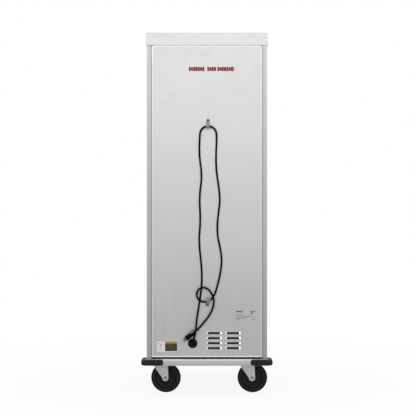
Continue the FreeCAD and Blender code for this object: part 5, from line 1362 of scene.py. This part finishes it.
@dataclass
class Casters:
    """Wheels, ribs, axle heads and bearings on the four swivel forks.

    Spots: x, y and turn. Tyre points: how far in from the tread and from the side. The other sections:
    radius and height, of the crest and the race from their seats.
    """

    spots: dict[str, Triple] = field(default_factory=lambda: {
        "rear_right": (0.2379, 0.306, math.radians(173.0)),
        "rear_left": (-0.2053, 0.306, math.radians(173.0)),
        "front_right": (0.2216, -0.246, math.pi / 2),
        "front_left": (-0.2216, -0.246, math.pi / 2),
    })
    steps: int = 96
    radius: float = 0.0762
    trail: float = 0.028
    leg_face: float = 0.0215
    half_tread: float = 0.016
    rib_span: Pair = (0.0072, 0.0228)
    rib_rise: Pair = (0.089, 0.1405)
    rib_edge: float = 0.0014
    tyre: tuple[Pair, ...] = (
        (0.0165, 0.0015), (0.0155, 0.0), (0.0125, 0.0), (0.0118, 0.0008), (0.0108, 0.0008), (0.0100, 0.0),
        (0.0070, 0.0003), (0.0040, 0.0022), (0.0018, 0.0045), (0.0006, 0.0080), (0.0, 0.0120),
    )
    core: tuple[Pair, ...] = (
        (0.0051, 0.018), (0.0115, 0.018), (0.0125, 0.0172), (0.0165, 0.0172), (0.0172, 0.0165),
        (0.0178, 0.0085), (0.0230, 0.0070), (0.0300, 0.0068), (0.0305, 0.0076), (0.0335, 0.0076),
        (0.0340, 0.0068), (0.0460, 0.0072), (0.0500, 0.0090), (0.0530, 0.0140), (0.0545, 0.0155),
    )
    core_rim: Pair = (0.0162, 0.0155)
    crest: tuple[Pair, ...] = ((-0.0009, -0.0004), (-0.0006, 0.0004), (0.0006, 0.0004), (0.0009, -0.0004))
    axle_head: tuple[Pair, ...] = (
        (0.0, 0.0), (0.0064, 0.0), (0.0064, 0.0055), (0.0057, 0.0064), (0.0044, 0.0066),
        (0.0040, 0.0062), (0.0, 0.0062),
    )
    washer: tuple[Pair, ...] = (
        (0.0, 0.0), (0.0078, 0.0), (0.0078, 0.0010), (0.0074, 0.0013), (0.0, 0.0013),
    )
    crown: float = 0.165
    race: tuple[Pair, ...] = (
        (0.0310, -0.0005), (0.0360, -0.0005), (0.0360, 0.0012), (0.0345, 0.0030), (0.0330, 0.0062),
        (0.0310, 0.0070),
    )

    def frame_of(self, corner: str) -> Matrix:
        """The matrix from a caster's own frame, trailing along +X, to its place."""
        x, y, turn = self.spots[corner]
        return Matrix.Translation((x, y, 0.0)) @ Matrix.Rotation(turn, 4, "Z")

    def build(self) -> None:
        """Dresses every caster."""
        for corner in CORNERS:
            place = self.frame_of(corner)
            self.wheel(corner, place)
            self.fork_dress(corner, place)

    def wheel(self, corner: str, place: Matrix) -> None:
        """Builds the tyre with its ringed sides and the ribbed core in place of the node.

        Args:
            corner: which caster.
            place: the caster's matrix.
        """
        centre = Matrix.Translation((self.trail, 0.0, self.radius))
        axle = place @ centre @ Matrix.Rotation(math.pi / 2, 4, "X")
        r, half = self.radius, self.half_tread

        def draw_tyre(bm: Mesh) -> None:
            """Draws the tyre's section with shallow rings on both sides."""
            turned(bm, two_sided([(r - down, half - back) for down, back in self.tyre]), axle, self.steps)

        def draw_rings(bm: Mesh) -> None:
            """Draws the lighter crests of two moulded rings on both sides.

            Args:
                bm: the mesh that it joins.
            """
            for side in (-1, 1):
                seat = axle @ Matrix.Scale(side, 4, (0.0, 0.0, 1.0))
                for radius, height in ((0.0472, 0.0072), (r - 0.0140, half)):
                    section = [(radius + out, height + up) for out, up in self.crest]
                    turned(bm, [*section, section[0]], seat, self.steps)

        def draw_core(bm: Mesh) -> None:
            """Draws the core with its dished web, hub and shallow rings."""
            down, height = self.core_rim
            turned(bm, two_sided([*self.core, (r - down, height)]), axle, self.steps)

        body = f"wheel_{corner}"
        batch(f"tyre_{corner}", TYRE_RUBBER, draw_tyre, body, smooth=28.0,
              replaces=(f"caster_wheel_{corner}",))
        batch(f"wheel_rings_{corner}", RING_RUBBER, draw_rings, body, smooth=28.0)
        batch(f"wheel_core_{corner}", WHEEL_PLASTIC, draw_core, body, smooth=28.0)

    def on_axle(self, place: Matrix, section: Iterable[Pair]) -> Draw:
        """Prepares a turned part that sits on both ends of the axle.

        Args:
            place: the caster's matrix.
            section: the part's radius and height at each point.

        Returns:
            The call that draws it.
        """
        def draw(bm: Mesh) -> None:
            """Draws the part outside each leg.

            Args:
                bm: the mesh that it joins.
            """
            for side in (-1, 1):
                seat = place @ facing((self.trail, side * self.leg_face, self.radius), (0, side, 0))
                turned(bm, section, seat, steps=32)

        return draw

    def fork_dress(self, corner: str, place: Matrix) -> None:
        """Adds the pressed ribs, the axle's heads and washers, and the swivel's bearing.

        Args:
            corner: which caster.
            place: the caster's matrix.
        """
        def draw_ribs(bm: Mesh) -> None:
            """Draws one raised rib on the outside of each leg.

            Args:
                bm: the mesh that it joins.
            """
            for side in (-1, 1):
                low, high = sorted((side * (self.leg_face - 0.001), side * (self.leg_face + 0.0016)))
                (left, right), (foot, head) = self.rib_span, self.rib_rise
                slab(bm, (left, low, foot), (right, high, head), self.rib_edge, 3)
            bmesh.ops.transform(bm, matrix=place, verts=bm.verts[:])

        def draw_race(bm: Mesh) -> None:
            """Draws the pressed skirt of the swivel's ball race on the crown."""
            turned(bm, [(radius, self.crown + up) for radius, up in self.race], place, steps=64)

        body = f"swivel_{corner}"
        for name, finish, draw in (
            ("fork_ribs", RIB_ZINC, draw_ribs),
            ("axle_heads", AXLE_STEEL, self.on_axle(place, self.axle_head)),
            ("axle_washers", SCREW_ZINC, self.on_axle(place, self.washer)),
            ("swivel_race", ZINC, draw_race),
        ):
            batch(f"{name}_{corner}", finish, draw, body)


# ---------------------------------------------------------------- front


@dataclass
class ControlFascia:
    """Dial scale, display and screws of the panel under the door."""

    face: float = -0.322
    centre: float = 0.262
    print_film: float = 0.00015
    dial: float = 0.190
    dial_top: float = -0.3439
    scale: Pair = (0.0285, 0.0335)
    ticks: int = 21
    sweep: float = 270.0
    window_floor: float = -0.3235
    window: Pair = (0.0598, 0.0208)
    digit: Triple = (0.011, 0.021, 0.0024)
    lit: tuple[str, ...] = ("bc", "abgcd", "abcdef")
    first_digit: float = -0.046
    digit_gap: float = 0.006
    first_key: float = 0.016
    key_pitch: float = 0.0155
    key: tuple[Pair, ...] = ((0.0, 0.0), (0.0050, 0.0), (0.0050, 0.0005), (0.0044, 0.0009), (0.0, 0.0008))
    screw_spots: tuple[Pair, ...] = ((-0.292, 0.198), (-0.292, 0.328), (0.292, 0.198), (0.292, 0.328))

    def build(self) -> None:
        """Adds the fascia's printed and lit parts and its screws."""
        self.dial_scale()
        self.dial_pointer()
        self.display()
        self.screws()

    def dial_scale(self) -> None:
        """Ticks round the dial, every second one longer."""
        def draw(bm: Mesh) -> None:
            """Draws every tick on the fascia.

            Args:
                bm: the mesh that it joins.
            """
            for tick in range(self.ticks):
                angle = math.radians(self.sweep * (tick / (self.ticks - 1) - 0.5))
                near, far = self.scale[0] + 0.002 * (tick % 2), self.scale[1]
                verts = slab(bm, (-0.0004, self.face - self.print_film, near), (0.0004, self.face, far))
                spot = Matrix.Translation((self.dial, 0.0, self.centre)) @ Matrix.Rotation(angle, 4, "Y")
                bmesh.ops.transform(bm, matrix=spot, verts=verts)

        batch("dial_scale", DARK_PRINT, draw, smooth=None)

    def dial_pointer(self) -> None:
        """A pale line along the dial's ridge."""
        def draw(bm: Mesh) -> None:
            """Draws the line on the ridge's top.

            Args:
                bm: the mesh that it joins.
            """
            low, high = self.centre + 0.006, self.centre + 0.0205
            slab(bm, (self.dial - 0.0008, self.dial_top - self.print_film, low),
                 (self.dial + 0.0008, self.dial_top, high))

        batch("dial_pointer", PALE_PRINT, draw, "dial", smooth=None)

    def display(self) -> None:
        """A smoked lens in the recess with lit digits and three keys."""
        wide, high = self.window
        floor = self.window_floor

        def draw_lens(bm: Mesh) -> None:
            """Draws the lens on the recess's floor."""
            slab(bm, (-wide, floor - 0.0006, self.centre - high), (wide, floor, self.centre + high), 0.0002)

        def draw_digits(bm: Mesh) -> None:
            """Draws the lit bars of each digit.

            Args:
                bm: the mesh that it joins.
            """
            across, tall, bar = self.digit
            half = tall / 2
            spans = {
                "a": (0.0, tall, across, bar), "g": (0.0, half, across, bar), "d": (0.0, 0.0, across, bar),
                "f": (0.0, half, bar, half), "b": (across - bar, half, bar, half),
                "e": (0.0, 0.0, bar, half), "c": (across - bar, 0.0, bar, half),
            }
            for place, bars in enumerate(self.lit):
                left = self.first_digit + place * (across + self.digit_gap)
                for key in bars:
                    x, z, long, up = spans[key]
                    near, foot = left + x, self.centre - half + z
                    slab(bm, (near + 0.0003, floor - 0.0008, foot + 0.0003),
                         (near + long - 0.0003, floor - 0.0006, foot + up - 0.0003))

        def draw_keys(bm: Mesh) -> None:
            """Draws three round keys beside the digits.

            Args:
                bm: the mesh that it joins.
            """
            for step in range(3):
                spot = (self.first_key + self.key_pitch * step, floor - 0.0006, self.centre)
                turned(bm, self.key, facing(spot, (0, -1, 0)), steps=32)

        batch("display_lens", DISPLAY_LENS, draw_lens)
        batch("display_digits", RED_DIGIT, draw_digits, smooth=None)
        batch("display_keys", GREY_PRINT, draw_keys)

    def screws(self) -> None:
        """Pan-head screws in the fascia's corners."""
        def draw(bm: Mesh) -> None:
            """Draws the four heads."""
            for x, z in self.screw_spots:
                pan_head(bm, facing((x, self.face, z), (0, -1, 0)), 0.0042, 0.0022)

        batch("fascia_screws", BRIGHT_ZINC, draw)


@dataclass
class DoorTrim:
    """Glazing bead, hinge screws and the pull's end caps."""

    half_width: float = 0.195
    low: float = 0.520
    high: float = 1.590
    bead: float = 0.008
    bead_edge: float = 0.0012
    pane: float = -0.361
    proud: float = -0.3662
    hinges: tuple[float, ...] = (0.495, 1.010, 1.525)
    leaf_face: float = 0.308
    leaf_middles: Pair = (-0.3368, -0.3082)
    screw_rises: Triple = (0.014, 0.045, 0.076)
    pull: Pair = (-0.253, -0.402)
    pull_ends: Pair = (0.890, 1.210)
    cap: tuple[Pair, ...] = (
        (0.0, 0.0), (0.0079, 0.0), (0.0078, 0.0008), (0.0070, 0.0022), (0.0052, 0.0034), (0.0028, 0.0041),
        (0.0, 0.0043),
    )

    def build(self) -> None:
        """Adds the bead, the screws and the caps."""
        self.glazing_bead()
        self.hinge_screws("door_hinge_screws", self.leaf_middles[0], "door")
        self.hinge_screws("frame_hinge_screws", self.leaf_middles[1], "cabinet")
        self.end_caps()

    def glazing_bead(self) -> None:
        """A soft grey bead that holds the outer pane in the door."""
        def draw(bm: Mesh) -> None:
            """Draws a mitred ring round the pane and gives it its thickness.

            Args:
                bm: the mesh that it joins.
            """
            middle = (self.low + self.high) / 2
            place = Matrix.Translation((0.0, self.proud, middle)) @ Matrix.Rotation(math.pi / 2, 4, "X")
            place = place @ Matrix.Diagonal((self.half_width * 2, self.high - self.low, 1.0, 1.0))
            bmesh.ops.create_grid(bm, x_segments=1, y_segments=1, size=0.5, matrix=place)
            pane = bm.faces[:]
            bmesh.ops.inset_region(
                bm, faces=pane, thickness=self.bead, use_even_offset=True, use_boundary=True
            )
            bmesh.ops.delete(bm, geom=pane, context="FACES")
            ring = bm.faces[:]
            back = bmesh.ops.extrude_face_region(bm, geom=ring, use_keep_orig=True)["geom"]
            verts = [g for g in back if isinstance(g, bmesh.types.BMVert)]
            bmesh.ops.translate(bm, vec=(0.0, self.pane - self.proud, 0.0), verts=verts)
            bmesh.ops.recalc_face_normals(bm, faces=bm.faces[:])
            rims = [e for e in bm.edges if all(abs(v.co.y - self.proud) < 1e-6 for v in e.verts)
                    and len(e.link_faces) == 2 and e.calc_face_angle(0.0) > 1.0]
            soften(bm, rims, self.bead_edge, 3)

        batch("glazing_bead", SEAL_RUBBER, draw, "door")

    def hinge_screws(self, name: str, depth: float, body: str) -> None:
        """Adds two screws on each hinge's leaf.

        Args:
            name: the piece's name.
            depth: the leaf's middle in Y.
            body: the body that it rides on.
        """
        def draw(bm: Mesh) -> None:
            """Draws the heads on every hinge.

            Args:
                bm: the mesh that it joins.
            """
            for low in self.hinges:
                for rise in self.screw_rises:
                    pan_head(bm, facing((self.leaf_face, depth, low + rise), (1, 0, 0)), 0.0036, 0.0018)

        batch(name, BRIGHT_ZINC, draw, body)

    def end_caps(self) -> None:
        """Domed caps on both ends of the pull."""
        def draw(bm: Mesh) -> None:
            """Draws a cap on each end.

            Args:
                bm: the mesh that it joins.
            """
            x, y = self.pull
            for z, way in zip(self.pull_ends, (-1, 1)):
                turned(bm, self.cap, facing((x, y, z), (0, 0, way)), steps=32)

        batch("pull_caps", BRIGHT_ZINC, draw, "door")


# ---------------------------------------------------------------- whole cabinet


def dress_nodes() -> None:
    """Gives every carried-over node its finish."""
    for finish, names in NODES_BY_FINISH:
        for name in names:
            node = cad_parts[name]
            node.data.materials.clear()
            node.data.materials.append(finish.material())


def main() -> None:
    """Builds the studio, then the cabinet's pieces in order."""
    logging.basicConfig(level=logging.INFO)
    Studio().build()
    dress_nodes()
    for part in (MainsCord(), HookScrews(), ServicePanel(), Casters(), ControlFascia(), DoorTrim()):
        LOG.info("building %s", type(part).__name__)
        part.build()


if __name__ == "__main__":
    main()
